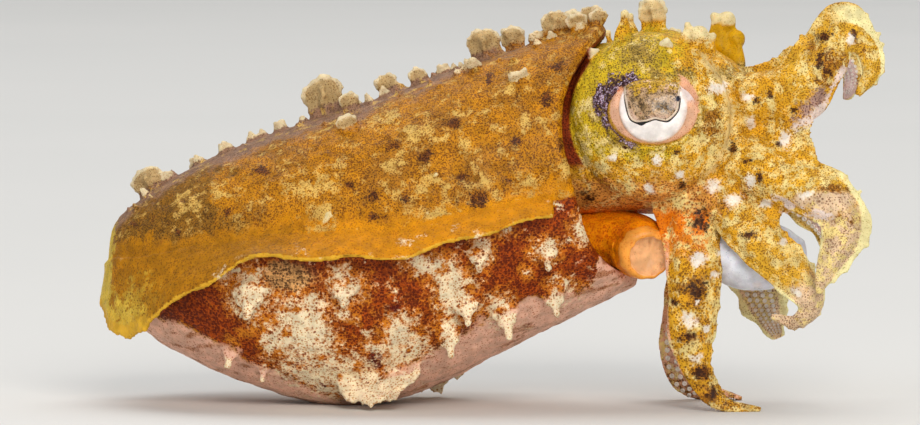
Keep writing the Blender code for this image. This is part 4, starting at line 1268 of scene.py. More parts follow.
@dataclass(frozen=True)
class BodySkin:
    """The skin of the mantle, its papillae, both fins and both ventral flaps."""

    mantle: MantleForm
    fin: FinForm
    flap: FlapForm
    voxel: float = 0.26
    triangles: int = 196_000
    # station, degrees round from the back towards the left, height, width
    crowns: Rows = (
        (0.134, 0, 2.7, 4.2), (0.232, 4, 0.9, 1.2), (0.298, -6, 1.0, 1.4), (0.347, 5, 0.9, 1.2),
        (0.413, -5, 1.1, 1.5), (0.512, 0, 4.2, 5.2), (0.566, -14, 2.0, 2.4), (0.640, 0, 2.3, 2.6),
        (0.705, -4, 1.7, 2.0), (0.752, 5, 1.1, 1.5), (0.822, 0, 3.4, 4.4), (0.862, 12, 2.8, 3.0),
        (0.893, -4, 1.2, 1.5), (0.926, 0, 2.8, 3.6), (0.953, 8, 2.4, 2.6), (0.965, -9, 2.0, 2.4),
        (0.985, 3, 2.2, 2.8), (1.000, -4, 1.5, 2.2),
        (0.560, -34, 1.5, 2.6), (0.585, 30, 1.3, 2.0), (0.700, 36, 1.2, 1.8), (0.900, -40, 1.2, 2.2),
    )
    # x and z of the root, length, width
    points: Rows = (
        (-24.6, 13.2, 3.6, 2.2), (-14.2, 13.9, 2.6, 1.8), (-1.3, 12.1, 2.8, 1.8), (0.2, 17.5, 2.6, 1.4),
        (2.9, 10.7, 3.2, 1.6), (7.3, 17.4, 2.0, 1.3), (8.0, 12.9, 2.8, 1.6), (-3.4, 8.6, 3.0, 1.7),
        (-27.5, 6.0, 1.6, 0.9), (-24.0, 4.2, 1.4, 0.8),
    )
    # x and z of small frilled ridges, and their length
    frills: Rows = (
        (-3.3, 21.6, 3.6), (-17.2, 20.6, 3.2), (-32.0, 22.6, 2.2), (5.6, 25.2, 2.4), (9.4, 26.6, 2.2),
        (-7.2, 30.3, 1.9), (2.4, 30.9, 1.4), (-15.6, 26.8, 1.2), (-22.0, 25.0, 1.6), (-4.8, 25.5, 1.5),
    )
    dark: Rows = (
        (-14.1, 24.6, 0.8, 0.9), (-5.5, 27.8, 0.9, 0.9), (-2.6, 31.5, 1.1, 0.9), (-1.5, 25.7, 0.9, 0.7),
        (0.7, 36.0, 0.6, 0.6), (7.3, 34.0, 0.8, 1.3), (8.4, 37.4, 1.3, 0.9), (4.3, 29.5, 0.6, 0.6),
        (3.4, 25.1, 0.6, 0.6), (0.4, 23.1, 1.3, 1.5), (-10.9, 21.3, 1.5, 0.6), (-7.8, 23.3, 0.7, 0.7),
        (9.2, 29.2, 0.6, 1.0), (-9.1, 29.0, 0.9, 0.8), (-23.9, 26.0, 1.2, 0.6), (-27.2, 21.8, 0.9, 0.5),
        (-35.0, 18.0, 0.8, 0.9), (-20.0, 19.1, 0.8, 0.5), (-27.5, 18.6, 1.4, 0.7), (-36.2, 20.5, 0.5, 0.6),
        (-11.3, 23.6, 1.2, 0.8), (-32.8, 19.2, 0.6, 0.5), (-15.0, 19.4, 0.6, 0.4), (-38.4, 20.0, 0.5, 0.5),
    )
    pale: Rows = (
        (2.2, 30.9, 1.0, 0.3), (0.7, 32.4, 0.5, 0.5), (4.9, 31.4, 0.7, 1.0), (6.8, 31.6, 0.7, 0.5),
        (-7.2, 30.5, 1.7, 1.0), (-15.8, 26.8, 0.8, 0.4), (-4.8, 25.5, 0.9, 0.5), (-2.2, 24.4, 1.9, 1.1),
        (-6.0, 24.4, 0.9, 1.1), (5.6, 25.1, 1.5, 0.9), (9.5, 26.6, 1.4, 0.8), (-18.0, 24.8, 2.8, 1.5),
        (-16.5, 21.9, 1.4, 1.0), (-3.3, 21.5, 2.3, 0.8), (-17.4, 20.3, 2.2, 0.7), (-32.0, 22.6, 1.5, 1.0),
        (-10.0, 32.0, 1.6, 0.7), (-1.0, 28.8, 0.9, 0.5), (9.9, 23.0, 1.2, 0.8), (-28.0, 24.0, 1.6, 0.6),
    )
    cream: Rows = (
        (-24.6, 13.0, 2.0, 2.6), (-18.9, 8.6, 3.0, 4.0), (-16.3, 3.2, 6.0, 2.8), (-14.0, 13.6, 1.7, 1.9),
        (-2.6, 13.2, 2.0, 2.7), (0.5, 17.5, 0.9, 1.8), (2.4, 10.5, 1.3, 2.0), (7.3, 17.7, 1.5, 1.0),
        (8.7, 12.8, 1.0, 1.5), (-3.4, 8.6, 1.0, 1.5), (-8.4, 6.4, 2.3, 3.8), (11.4, 19.8, 0.9, 1.3),
        (-11.5, 6.8, 1.0, 0.8), (-22.5, 7.6, 1.0, 1.6), (-26.5, 14.9, 1.2, 0.9),
        (5.2, 15.2, 0.4, 0.4), (-19.2, 13.6, 0.5, 0.5), (-22.0, 13.8, 0.35, 0.35), (-5.0, 16.2, 2.4, 1.0),
    )
    scars: Rows = ((-11.2, 5.4, 0.9, 0.9), (-17.5, 2.4, 0.7, 0.6), (-9.0, 11.6, 0.8, 0.5))
    # height of the border of the pink belly along x
    belly_line: Rows = (
        (-37.0, 9.8), (-33.0, 9.3), (-28.0, 6.6), (-21.8, 3.6), (-16.0, 0.6), (-10.6, 3.4), (-6.1, 5.9),
        (-0.5, 9.3), (5.1, 12.1), (12.2, 12.6), (13.6, 19.5), (19.0, 24.0),
    )

    def papillae(self) -> list[Papilla]:
        """The crowns along the back.

        Returns:
            The large ones at their places, and small ones strewn between them.
        """
        made = []
        for station, turn, height, width in self.crowns:
            base, out, forward = self.mantle.frame_at(station, math.radians(turn))
            made += Papilla.grown(base, out, forward, height, width)
        rng = np.random.default_rng(31)
        for station in np.concatenate([rng.uniform(0.1, 0.5, 10), rng.uniform(0.5, 0.97, 22)]):
            base, out, forward = self.mantle.frame_at(station, math.radians(rng.uniform(-20, 20)))
            height = rng.uniform(0.6, 1.25)
            made.append(Papilla(base, out, forward, height, height * rng.uniform(0.7, 1.3)))
        return made

    def nubs(self) -> list[Shell]:
        """Grains of skin along the back and over the flanks: small balls, half sunk.

        Returns:
            The balls.
        """
        rng = np.random.default_rng(11)
        shells = []
        for n in range(120):
            on_back = n < 30
            station = rng.uniform(0.05, 0.97)
            turn = rng.uniform(-26, 26) if on_back else rng.uniform(30, 92) * rng.choice((-1, 1))
            base, out, forward = self.mantle.frame_at(station, math.radians(turn))
            size = rng.uniform(0.22, 0.42) if on_back else rng.uniform(0.2, 0.34)
            lift = rng.uniform(0.0, 0.35) if on_back else 0.0
            axes = np.array([forward, np.cross(out, forward), out])
            shells.append(ball(base + lift * out, (size, size, size + lift), axes, 6))
        return shells

    def frill_shells(self) -> list[Shell]:
        """The frilled ridges: for each a hollow arc of balls of changing size.

        Returns:
            The balls.
        """
        rng = np.random.default_rng(5)
        shells = []
        for side, (x, z, length) in itertools.product(Side, self.frills):
            shift = 0.0 if side is Side.RIGHT else rng.uniform(-1.5, 1.5)
            base, out, forward = self.mantle.frame_at(*self.mantle.spot(x + shift, z))
            down = np.cross(forward, out) * (1 if np.cross(forward, out)[2] < 0 else -1)
            for t in np.linspace(-1, 1, max(4, int(length / 0.42))):
                place = base + 0.5 * length * t * forward + 0.3 * length * (0.5 - t * t) * down
                shells.append(bead(side.place(place + 0.06 * out), rng.uniform(0.24, 0.4)))
        return shells

    def soft_points(self) -> list[Shell]:
        """The papillae that hang from both flanks.

        Returns:
            Their tubes and balls.
        """
        rng = np.random.default_rng(3)
        shells = []
        for side, (x, z, length, width) in itertools.product(Side, self.points):
            shift = 0.0 if side is Side.RIGHT else 1.2 * rng.uniform(-1, 1)
            base, out, forward = self.mantle.frame_at(*self.mantle.spot(x + shift, z))
            hang = unit(out + (0, 0, -0.9))
            base, hang, forward = (side.place(v) for v in (base, hang, forward))
            shells += SoftPoint(base, hang, forward, length, width).shells()
        return shells

    def tail_frill(self) -> list[Shell]:
        """The ragged edge of the fins behind the tail.

        Returns:
            Balls along the edge of each fin.
        """
        rng = np.random.default_rng(9)
        edges = [self.fin.grid(side, np.array([1.0]), 200)[0][4:48:3, 0] for side in Side]
        return [bead(place, rng.uniform(0.26, 0.46)) for place in np.concatenate(edges)]

    def surface(self) -> Surface:
        """All forms under one skin, its steps smoothed away and its resting faces flat.

        Returns:
            The finished surface.
        """
        shells = [self.mantle.shell()]
        for side in Side:
            shells += [self.fin.shell(side), self.flap.shell(side)]
        for n, papilla in enumerate(self.papillae()):
            shells += papilla.shells(n)
        shells += self.nubs() + self.frill_shells() + self.soft_points() + self.tail_frill()
        skin = remeshed(shells, self.voxel).relaxed(4)
        folds, creases = cloud(skin.points * (1, 1, 1.4), 2.6, 3, 1), cloud(skin.points, 0.9, 2, 2)
        skin.points = skin.points + (0.10 * folds + 0.05 * creases - 0.05)[:, None] * skin.normals()
        skin.points[:, 2] = np.maximum(skin.points[:, 2], 0.0)
        return skin.thinned(self.triangles)

    def fields(self, p: Array) -> dict[str, Array]:
        """Where each field of colour lies.

        Formula: smoothsteps of a point's place along and round the form, of its distance from other
        forms and of noise, multiplied where fields overlap.

        Args:
            p: rows of x, y, z.
        Returns:
            A value from 0 to 1 for each point, by the name of the field.
        """
        station, height = self.mantle.place_of(p)
        over = height - self.fin.root_rise(station)
        marks = mark_points(p)
        rough, small = cloud(p, 3.4, 3, 21), cloud(p, 1.1, 2, 31)

        shares = np.linspace(0.1, 1, 10)
        grids = [self.fin.grid(side, shares, 220)[0] for side in Side]
        samples = np.concatenate([g.reshape(-1, 3) for g in grids])
        index, away = nearest(p, samples)
        share = shares[index % len(shares)]
        on_fin = smooth(0.95, 0.55, away) * smooth(0.05, 0.25, share)

        crown, crown_rim = np.max([papilla.fields(p) for papilla in self.papillae()], axis=0)
        turn = np.arctan2(p[:, 1], height)
        bag = self.mantle.point(np.clip(station, 0.02, 1.0)[:, None], turn[:, None])[:, 0]
        axis = np.array(self.mantle.tail) + (station * self.mantle.length)[:, None] * self.mantle.axes[0]
        proud = np.linalg.norm(p - axis, axis=1) - np.linalg.norm(bag - axis, axis=1)

        angle = np.abs(np.degrees(turn))
        line = np.interp(marks[:, 0], *np.array(self.belly_line).T) + 0.5 * rough
        below = smooth(0.3, -0.6, over)
        pink = smooth(0.9, -0.7, marks[:, 2] - line) * below
        strewn = 0.62 * smooth(0.2, 1.1, small + 0.35 * rough) * smooth(-22, -14, marks[:, 0]) * below
        cream = np.maximum(spots(marks, self.cream, 0.8) * smooth(-0.9, 0.1, small), strewn)
        window = spots(marks, ((-20.4, 14.8, 2.9, 1.5),), 0.5) * below
        cream = cream * below * (1 - 0.7 * pink) * (1 - window)
        amber = spots(marks, self.cream, 0.6, 1.25, 0.5)
        flap_samples = np.concatenate([self.flap.shell(side)[0] for side in Side])
        flap = smooth(0.5, 0.2, nearest(p, flap_samples)[1]) * smooth(4.4, 3.0, p[:, 2])
        flap = flap * smooth(0.15, 0.5, proud)
        tips = smooth(0.35, 0.9, proud) * smooth(0.8, 1.5, away) * (1 - crown) * below
        grains = cloud(p, 0.85, 3, 44)
        strewn = (0.34 + 0.28 * smooth(0.35, 0.6, station)) * smooth(-0.1, 1.0, grains + 0.5 * rough)
        fleck = np.maximum(spots(marks, self.pale, 0.9) * smooth(-0.7, 0.3, grains), strewn)
        raised = smooth(0.12, 0.3, proud) * smooth(1.0, 1.8, over) * smooth(0.06, 0.12, station)
        fleck = fleck * (1 - below) * (1 - on_fin)
        streaks = cloud(p * (2.4, 1, 0.5), 1.2, 2, 51)
        tail = smooth(0.13, 0.05, station)
        # painted shade inside the collar: where the skin turns in under the mantle's rim
        inner = smooth(0.965, 0.99, station) * smooth(-0.9, -1.25, proud)
        gold = smooth(3.4, 0.2, over + 0.5 * rough + 0.9 * streaks) * smooth(-1.5, -0.3, over)
        gold = gold * (station < 0.97)
        clear = 1 - smooth(0.2, 0.1, station) * smooth(1.9, 1.1, away)
        rear = smooth(-40.3, -41.3, p[:, 0] + 0.3 * small)
        pale_end = on_fin * smooth(0.16, 0.05, station) * smooth(0.1, 0.9, share + 0.3 * rough)
        return {
            "mauve": smooth(46, 16, angle + 8 * rough + 14 * smooth(0.5, 0.8, station)) * (height > 0)
            * (1 - 0.7 * smooth(0.75, 1.0, station)),
            "tan": smooth(0.0, 1.0, rough + 0.3) * (1 - below),
            # painted shade: the olive field grows towards the tail, on top of its random patches
            "olive": smooth(0.0, 1.0, rough + 0.2 + 2.2 * smooth(0.5, 0.1, station) - 0.9) * (1 - below),
            "gold": gold,
            "rust": below * (1 - pink) * clear,
            "ember": below * (1 - pink) * clear * np.maximum(smooth(0.1, 0.9, rough + 0.4 * small), amber),
            "pink": pink,
            "streak": pink * smooth(0.25, 0.8, cloud(p @ self.mantle.axes.T * (0.25, 1.6, 1.0), 1.2, 3, 61)),
            "window": window,
            "coarse": below * (1 - 0.4 * pink),
            "cream": np.maximum(cream, np.maximum(tips, flap)),
            "fin": on_fin * (1 - flap),
            "fin_edge": on_fin * np.maximum(0.8 * smooth(0.93, 1.0, share), tail * smooth(0.72, 0.9, share)),
            "fin_blot": on_fin * spots(marks, ((-36.3, 10.8, 2.2, 2.2), (-33.4, 12.2, 1.4, 1.6)), 0.9)
            * smooth(-0.9, 0.5, cloud(p, 2.2, 3, 57)),
            # painted shade: the fins, and the gold band along them, darker towards the tail
            "fin_dim": 0.9 * np.maximum(on_fin, gold * (station < 0.5)) * smooth(0.62, 0.28, station),
            "fin_pale": np.maximum(pale_end, rear),
            "fleck": fleck,
            "frill": raised * (1 - below) * (1 - on_fin) * smooth(22, 36, angle),
            "crown": crown,
            "crown_edge": crown_rim,
            "dark": spots(marks, self.dark, 1.0, 0.66) * (1 - below) * (1 - crown),
            "scar": spots(marks, self.scars, 0.6) * below,
            "groove": inner,
        }

    def build(self) -> bpy.types.Object:
        """The dressed body skin.

        Returns:
            The object, in place of the mantle, the fins and the skirts.
        """
        skin = self.surface()
        skin.values = self.fields(skin.points)
        obj = skin.made("body_skin", BODY_FINISH.made())
        nodes = ["mantle"] + [f"{part}_{side.word}" for part in ("fin", "ventral_flap") for side in Side]
        return shown(obj, nodes)


# Living skin of head and arms: yellow with fine dark grain, white flecks and wet glints
HEAD_FINISH = Skin(
    "wet_cuttlefish_skin_of_head", "#dba01e", "#774408",
    layers=(
        Layer("limb", "#deaa30", "#80520e", 0.42, 0.6),
        Layer("veil", "#dfc09c", "#7c5034", 0.40, 0.4),
        Layer("salmon", "#e6b294", "#b8643c", 0.28, 0.3),
        Layer("green", "#cfae20", "#5a4408", 0.44, 0.6),
        Layer("shade", "#a98a3a", "#3c2c0c", 0.52, 0.8),
        Layer("brown", "#b07420", "#4a2408", 0.58, 0.8),
        Layer("cheek", "#e09c48", "#70260c", 0.47, 0.7),
        Layer("ember", "#e8800c", "#b84c08", 0.40, 0.3),
        Layer("blond", "#ecd48a", "#946618", 0.36, 0.9),
        Layer("bruise", "#b08c7c", "#502c2c", 0.48, 0.7),
        Layer("brim", "#e2c684", "#a88030", 0.30, 0.8),
        Layer("hem", "#e0ccc0", "#9a7c74", 0.24, 0.7),
        Layer("rim", "#f0e4a8", "#a8903e", 0.26, 0.3),
        Layer("oral", "#dcc0bc", "#a5787a", 0.26, 0.3),
        Layer("crown", "#d8bd88", "#a2854e", 0.24, 0.25),
        Layer("horn", "#e2d09c", "#a2803a", 0.24, 0.5),
        Layer("yellow_crown", "#cc9a04", "#a07404", 0.30, 0.3),
        Layer("crown_edge", "#dccfa8", "#98865a", 0.16, 0.3),
        Layer("socket", "#e0a684", "#b06a48", 0.26, 0.6),
        Layer("dark", "#66380f", "#24100a", 0.68, 0.7),
        Layer("white", "#eee4d6", "#cfb07c", 0.20, 0.55),
        Layer("purple", "#5c3a44", "#1a0a0c", 0.80, 0.9),
        Layer("lilac", "#6a4c58", "#cbb6cc", 0.62, 0.9),
        # painted shade: a dark red-brown crescent on the head where it goes into the collar
        Layer("neck", "#8a3410", "#431405", 0.55, 0.2),
    ),
    spread=0.46,
)


@dataclass(frozen=True)
class HeadSkin:
    """The skin of the head, the eye bulges and lids, the eight arms and the webs between them."""

    head: HeadForm
    arms: tuple[ArmForm, ...]
    voxel: float = 0.225
    triangles: int = 196_000
    # side, way out from the middle of the bulge, height, width
    crowns: tuple[tuple[Side, Row, float, float], ...] = (
        (Side.LEFT, (-0.06, 0.05, 1.0), 3.6, 3.4), (Side.RIGHT, (-0.9, 0.3, 1.0), 0.9, 1.4),
        (Side.RIGHT, (0.25, 0.6, 1.0), 0.9, 1.2), (Side.LEFT, (0.2, 0.5, 1.0), 1.1, 1.6),
    )
    # how far the webs go along the upper and the lower of two arms
    webs: tuple[tuple[int, int, tuple[float, float]], ...] = (
        (0, 2, (0.46, 0.44)), (2, 4, (0.40, 0.36)), (4, 6, (0.22, 0.2)),
        (1, 3, (0.42, 0.42)), (3, 5, (0.36, 0.34)), (5, 7, (0.2, 0.2)),
    )
    white: Rows = (
        (25.3, 24.6, 1.0, 1.0), (27.6, 23.1, 1.0, 0.9), (22.0, 25.8, 0.6, 0.6), (18.6, 24.2, 0.6, 0.6),
        (14.8, 27.7, 0.7, 0.6), (19.6, 27.4, 0.7, 0.7), (29.5, 25.1, 0.7, 1.0), (40.2, 40.4, 0.5, 0.7),
        (28.9, 34.1, 0.9, 0.6), (25.9, 35.2, 1.1, 0.8), (33.2, 29.7, 0.8, 1.2), (35.6, 23.8, 0.9, 0.5),
        (29.5, 31.4, 0.6, 0.8), (24.0, 16.7, 1.0, 0.9), (25.6, 14.9, 0.6, 0.6), (22.8, 10.1, 1.0, 0.8),
        (23.6, 5.9, 0.8, 0.7), (24.6, 9.1, 0.4, 0.7), (31.2, 22.6, 0.9, 0.6), (24.0, 12.0, 0.3, 0.3),
        (26.4, 17.2, 0.5, 0.4), (33.0, 18.6, 0.5, 0.4), (34.6, 13.2, 0.6, 0.5),
    )
    blond: Rows = (
        (12.4, 28.9, 1.5, 1.3), (23.7, 29.1, 1.4, 1.2), (25.2, 27.7, 1.5, 1.2), (17.1, 25.9, 1.7, 0.8),
        (21.4, 22.9, 1.5, 1.1), (15.6, 28.6, 1.2, 0.8), (21.6, 27.6, 1.0, 0.8), (25.0, 34.0, 1.3, 1.4),
        (26.0, 30.4, 1.2, 1.2), (13.4, 26.6, 1.0, 0.8), (19.0, 28.6, 2.2, 0.7), (38.6, 40.2, 1.2, 1.0),
        (36.0, 40.2, 0.8, 2.6), (40.6, 38.4, 0.7, 2.0), (31.6, 33.0, 1.6, 0.8), (32.6, 35.6, 0.7, 1.8),
        (23.2, 21.0, 0.8, 0.8),
    )
    dark: Rows = (
        (31.5, 34.6, 0.5, 0.7), (30.0, 33.5, 0.5, 0.4), (37.5, 41.0, 1.1, 0.9), (40.6, 40.9, 0.7, 0.8),
        (37.7, 36.9, 0.8, 0.6), (36.9, 38.4, 0.4, 1.0), (34.0, 32.6, 0.5, 0.5), (27.5, 28.8, 0.5, 0.8),
        (30.6, 25.6, 0.5, 0.8), (24.0, 20.6, 1.0, 1.5), (23.7, 13.3, 1.4, 1.5), (23.0, 8.1, 1.1, 0.8),
        (24.2, 4.1, 0.8, 0.9), (25.3, 1.9, 0.8, 0.8), (21.4, 12.0, 0.5, 0.5), (29.4, 19.2, 0.9, 0.4),
        (22.1, 24.6, 0.5, 0.5), (21.6, 28.4, 0.5, 0.4), (15.9, 28.9, 0.4, 0.3),
        (11.6, 23.2, 0.9, 0.9), (32.5, 29.0, 0.5, 0.4), (29.0, 27.4, 0.8, 0.4),
    )
    brown: Rows = (
        (38.4, 38.0, 1.6, 1.7), (25.4, 30.8, 1.3, 2.0), (37.0, 36.0, 1.0, 1.1),
        (26.2, 22.4, 1.0, 0.9), (38.2, 24.5, 2.3, 0.4), (24.3, 22.3, 1.6, 1.2), (29.4, 24.2, 1.0, 1.4),
    )
    # x and z along the pale hem of the upper arm and along the lilac edge of the second arm
    hems: tuple[Rows, ...] = (
        ((34.6, 30.9), (36.4, 31.8), (37.9, 33.3), (39.0, 35.0), (39.5, 36.6)),
        ((32.2, 23.5), (33.6, 22.7), (35.5, 22.0), (38.2, 21.4)),
    )
    bruise: Rows = ((35.2, 32.6, 1.0, 0.9), (36.8, 34.0, 1.0, 1.0), (34.2, 31.6, 0.8, 0.8))
    # dusky fields of the bulge
    shade: Rows = (
        (17.4, 38.8, 2.2, 1.4), (24.8, 31.4, 1.8, 1.6), (15.4, 29.4, 2.2, 0.8), (22.4, 36.6, 1.0, 1.2),
        (19.4, 36.9, 1.4, 0.7), (13.2, 33.6, 0.9, 1.6), (26.6, 36.4, 1.6, 0.8),
    )
    flat_horn: float = 2.0  # width from which a fold is a flap with another colour
    # side, root, tip, radius at the root and at the tip of pointed folds of skin
    horns: tuple[tuple[Side, Row, Row, float, float], ...] = (
        (Side.RIGHT, (15.3, 7.6, 38.6), (15.7, 8.0, 43.2), 1.7, 0.5),
        (Side.RIGHT, (22.2, 7.4, 38.4), (22.5, 8.0, 42.0), 1.6, 0.45),
        (Side.RIGHT, (24.6, 7.4, 36.4), (25.3, 7.9, 40.8), 1.6, 0.45),
        (Side.RIGHT, (23.4, 7.4, 37.2), (23.8, 7.9, 40.9), 1.9, 1.1),
        (Side.LEFT, (24.6, 6.8, 36.6), (24.6, 7.0, 42.5), 2.2, 0.6),
        (Side.LEFT, (25.8, 6.8, 36.2), (25.9, 7.0, 41.9), 2.6, 1.2),
        (Side.LEFT, (26.6, 6.8, 35.6), (26.9, 7.0, 40.0), 2.6, 1.2),
        (Side.LEFT, (15.6, 7.4, 38.6), (15.2, 8.2, 42.4), 1.5, 0.5),
        (Side.LEFT, (13.6, 6.6, 37.0), (12.8, 7.2, 40.6), 1.4, 0.45),
    )

    def horn_shells(self) -> list[Shell]:
        """The pointed folds: for each a flattened tube that narrows and wrinkles towards its tip.

        Returns:
            Tubes, and a ball at the tip of each.
        """
        shells = []
        for side, root, tip, wide, narrow in self.horns:
            t = steps(14)
            line = np.array(root) + t[:, None] * np.subtract(tip, root)
            size = wide + (narrow - wide) * t**0.8 + 0.08 * np.sin(11 * t + wide)
            shells.append(tube(side.place(line), size, 14, 0.55))
            shells.append(bead(side.place(tip), narrow, 8))
        return shells

    def horn_fields(self, p: Array) -> Array:
        """The tips of the narrow pointed folds.

        Args:
            p: rows of x, y, z.
        Returns:
            A value from 0 to 1 for each point.
        """
        total = np.zeros(len(p))
        for side, root, tip, wide, _ in self.horns:
            root, tip = side.place(np.array(root)), side.place(np.array(tip))
            way = tip - root
            t = (p - root) @ way / (way @ way)
            away = np.linalg.norm(p - root - np.clip(t, 0, 1.1)[:, None] * way, axis=1)
            near = smooth(1.3 * wide, 0.9 * wide, away) if wide < self.flat_horn else 0.0
            total = np.maximum(total, smooth(0.7, 1.1, t) * near)
        return total

    def papillae(self) -> list[Papilla]:
        """The crowns over the eyes.

        Returns:
            Their blades.
        """
        made = []
        for side, way, height, width in self.crowns:
            base = side.place(np.array(self.head.bulge) + np.array(self.head.bulge_size) * unit(way))
            across = side.place(np.cross((0.0, 1.0, 0.0), unit(way)))
            made += Papilla.grown(base, side.place(unit(way)), across, height, width)
        return made

    def nubs(self) -> list[Shell]:
        """Grains of skin on the bulges and along the upper edges of the arms.

        Returns:
            Small balls, half sunk.
        """
        rng = np.random.default_rng(23)
        shells = []
        for n in range(70):
            side = Side.RIGHT if n % 2 else Side.LEFT
            way = unit((rng.uniform(-1, 1), rng.uniform(0.1, 0.9), rng.uniform(-0.4, 1.0)))
            place = np.array(self.head.bulge) + np.array(self.head.bulge_size) * way
            if np.hypot((place[0] - self.head.eye[0]) / 6.2, (place[2] - self.head.eye[2]) / 5.0) >= 1:
                shells.append(bead(side.place(place), rng.uniform(0.2, 0.34)))
        for arm in self.arms:
            share = rng.uniform(0.25, 0.92, 14)
            middle, _, across, sizes = arm.frames(share)
            edge = middle + (sizes[:, 0] + sizes[:, 1])[:, None] * across
            shells += map(bead, arm.side.place(edge), rng.uniform(0.24, 0.38, 14))
        return shells

    def surface(self) -> Surface:
        """All forms under one skin, smoothed, with resting faces flat.

        Returns:
            The finished surface.
        """
        shells = [self.head.shell()]
        for side in Side:
            centre = side.place(np.array(self.head.bulge))
            shells += [ball(centre, self.head.bulge_size, rings=40), self.head.lid(side)]
        shells += [arm.shell() for arm in self.arms]
        shells += [web(self.arms[a], self.arms[b], reach) for a, b, reach in self.webs]
        for n, papilla in enumerate(self.papillae()):
            shells += papilla.shells(100 + n)
        shells.append(ball((13.6, 0.0, 33.4), (5.6, 8.6, 6.4), rings=24))
        shells += self.horn_shells() + self.nubs()
        skin = remeshed(shells, self.voxel).relaxed(4)
        folds = 0.08 * cloud(skin.points, 2.2, 3, 7) + 0.04 * cloud(skin.points, 0.8, 2, 8) - 0.04
        folds += 0.28 * self.brim(skin.points, 0.96, 0.55) - 0.55 * self.brim(skin.points, 1.03, 0.5)
        skin.points = skin.points + folds[:, None] * skin.normals()
        skin.points[:, 2] = np.maximum(skin.points[:, 2], 0.0)
        return self.with_sockets(skin).thinned(self.triangles)

    def brim(self, p: Array, grow: float, half: float) -> Array:
        """The front edge of the eye bulges.

        Formula: a bell curve over the distance from a larger or smaller copy of the bulge's outline
        in the side view, from over the eye round the front to below it.

        Args:
            p: rows of x, y, z.
            grow: size of the copy as a share of the bulge.
            half: half width of the band.
        Returns:
            A value from 0 to 1 for each point.
        """
        u, w = p[:, 0] - self.head.bulge[0], p[:, 2] - self.head.bulge[2]
        away = np.hypot(u / self.head.bulge_size[0], w / self.head.bulge_size[2]) - grow
        turn = np.degrees(np.arctan2(w, u))
        bell = np.exp(-(away * self.head.bulge_size[0] / half) ** 2)
        return bell * smooth(62, 42, turn) * smooth(-62, -34, turn) * smooth(3.5, 5.5, np.abs(p[:, 1]))

    def hem_field(self, p: Array, half: float) -> Array:
        """The hems of the arms, in the side view.

        Args:
            p: rows of x, y, z.
            half: half width of a hem.
        Returns:
            A value from 0 to 1 for each point, none on the left.
        """
        samples = np.concatenate([spline(hem, steps(40)) for hem in self.hems])
        line = np.column_stack([samples[:, 0], 0 * samples[:, 0], samples[:, 1]])
        away = nearest(p * (1.0, 0.0, 1.0), line)[1]
        return smooth(half, 0.4 * half, away) * (p[:, 1] < -2)

    def with_sockets(self, skin: Surface) -> Surface:
        """The skin pushed in under each eye, so that the lids stand round it.

        Formula: inside the lids' ellipse |y| is at most the eye's own ellipsoid less a gap.

        Args:
            skin: the skin of the head.
        Returns:
            The same skin.
        """
        head, p = self.head, skin.points
        u, w = p[:, 0] - head.eye[0], p[:, 2] - head.eye[2]
        a, b, c = head.eye_size
        floor = head.eye[1] + b * np.sqrt(np.maximum(1 - (u / a) ** 2 - (w / c) ** 2, 0)) - 0.6
        beside = np.abs(p[:, 1])
        share = smooth(1.0, 0.9, np.hypot(u / head.lid_size[0], w / head.lid_size[1])) * (beside > 7.5)
        p[:, 1] = np.sign(p[:, 1]) * (beside * (1 - share) + np.minimum(beside, floor) * share)
        return skin

    def on_arms(self, p: Array) -> tuple[Array, Array, Array, Array, Array]:
        """Where points lie on the arms.

        Args:
            p: rows of x, y, z.
        Returns:
            The nearest arm's number, the share of the way along it, the places across and outward in
            half widths, and how far the point lies on an arm at all, from 0 to 1.
        """
        share = steps(240)
        frames = [arm.frames(share) for arm in self.arms]
        middles, outs, across = (np.concatenate([arm.side.place(f[n]) for arm, f in zip(self.arms, frames)])
                                 for n in range(3))
        sizes = np.concatenate([f[3] for f in frames])
        index, away = nearest(p, middles)
        local = p - middles[index]
        a = np.sum(local * across[index], 1) / sizes[index, 0]
        b = np.sum(local * outs[index], 1) / sizes[index, 0]
        here = smooth(1.25, 0.95, away / sizes.sum(1)[index])
        return index // len(share), share[index % len(share)], a, b, here

    def fields(self, p: Array) -> dict[str, Array]:
        """Where each field of colour lies.

        Formula: smoothsteps of a point's place along and round the form, of its distance from other
        forms and of noise, multiplied where fields overlap.

        Args:
            p: rows of x, y, z.
        Returns:
            A value from 0 to 1 for each point, by the name of the field.
        """
        arm, share, a, b, here = self.on_arms(p)
        limb = here * smooth(0.12, 0.3, share)
        marks = mark_points(p, 1.2, 0.26)
        x, z = marks[:, 0], marks[:, 2]
        rough, small, grains = cloud(p, 3.0, 3, 71), cloud(p, 1.0, 2, 81), cloud(p, 0.9, 3, 91)
        eye = np.array(self.head.eye)
        u, w = x - eye[0], z - eye[2]
        flank = np.abs(p[:, 1]) > 7.5
        ring = np.hypot((u - 0.3) / 4.8, (w - 0.3) / 3.6)
        arc = smooth(1.05, 0.95, np.hypot((u - 0.31) / 4.8, (w - 0.28) / np.where(w > 0.28, 4.5, 3.6)))
        arc = arc * smooth(2.3, 2.9, np.abs(u - 0.25)) * (w > 0)
        turn = np.degrees(np.arctan2(w - 0.3, -(u - 0.3)))  # 0 behind the eye, 90 over it
        belt = 1.17 + 0.24 * np.exp(-((turn - 22) / 42) ** 2)
        patch = (smooth(0.1, -0.06, ring - belt + 0.07 * small + 0.05 * rough)
                 * smooth(74, 56, turn) * smooth(-72, -50, turn) * smooth(-1.1, -0.2, grains))
        middle, size = self.head.bulge, self.head.bulge_size
        bulge = np.hypot((x - middle[0]) / size[0], (z - middle[2]) / size[2])
        outline = np.hypot((p[:, 0] - middle[0]) / size[0], (p[:, 2] - middle[2]) / size[2])
        oral = smooth(-0.1, -0.42, b + 0.12 * np.abs(a)) * limb * (1 - 0.85 * (arm == 5) - 0.7 * (arm == 7))
        far_out = np.where(arm < 2, smooth(0.52, 0.62, share), smooth(0.35, 0.5, share))
        rim = smooth(0.95, 1.25, np.abs(a)) * far_out * limb
        legs = arm >= 6
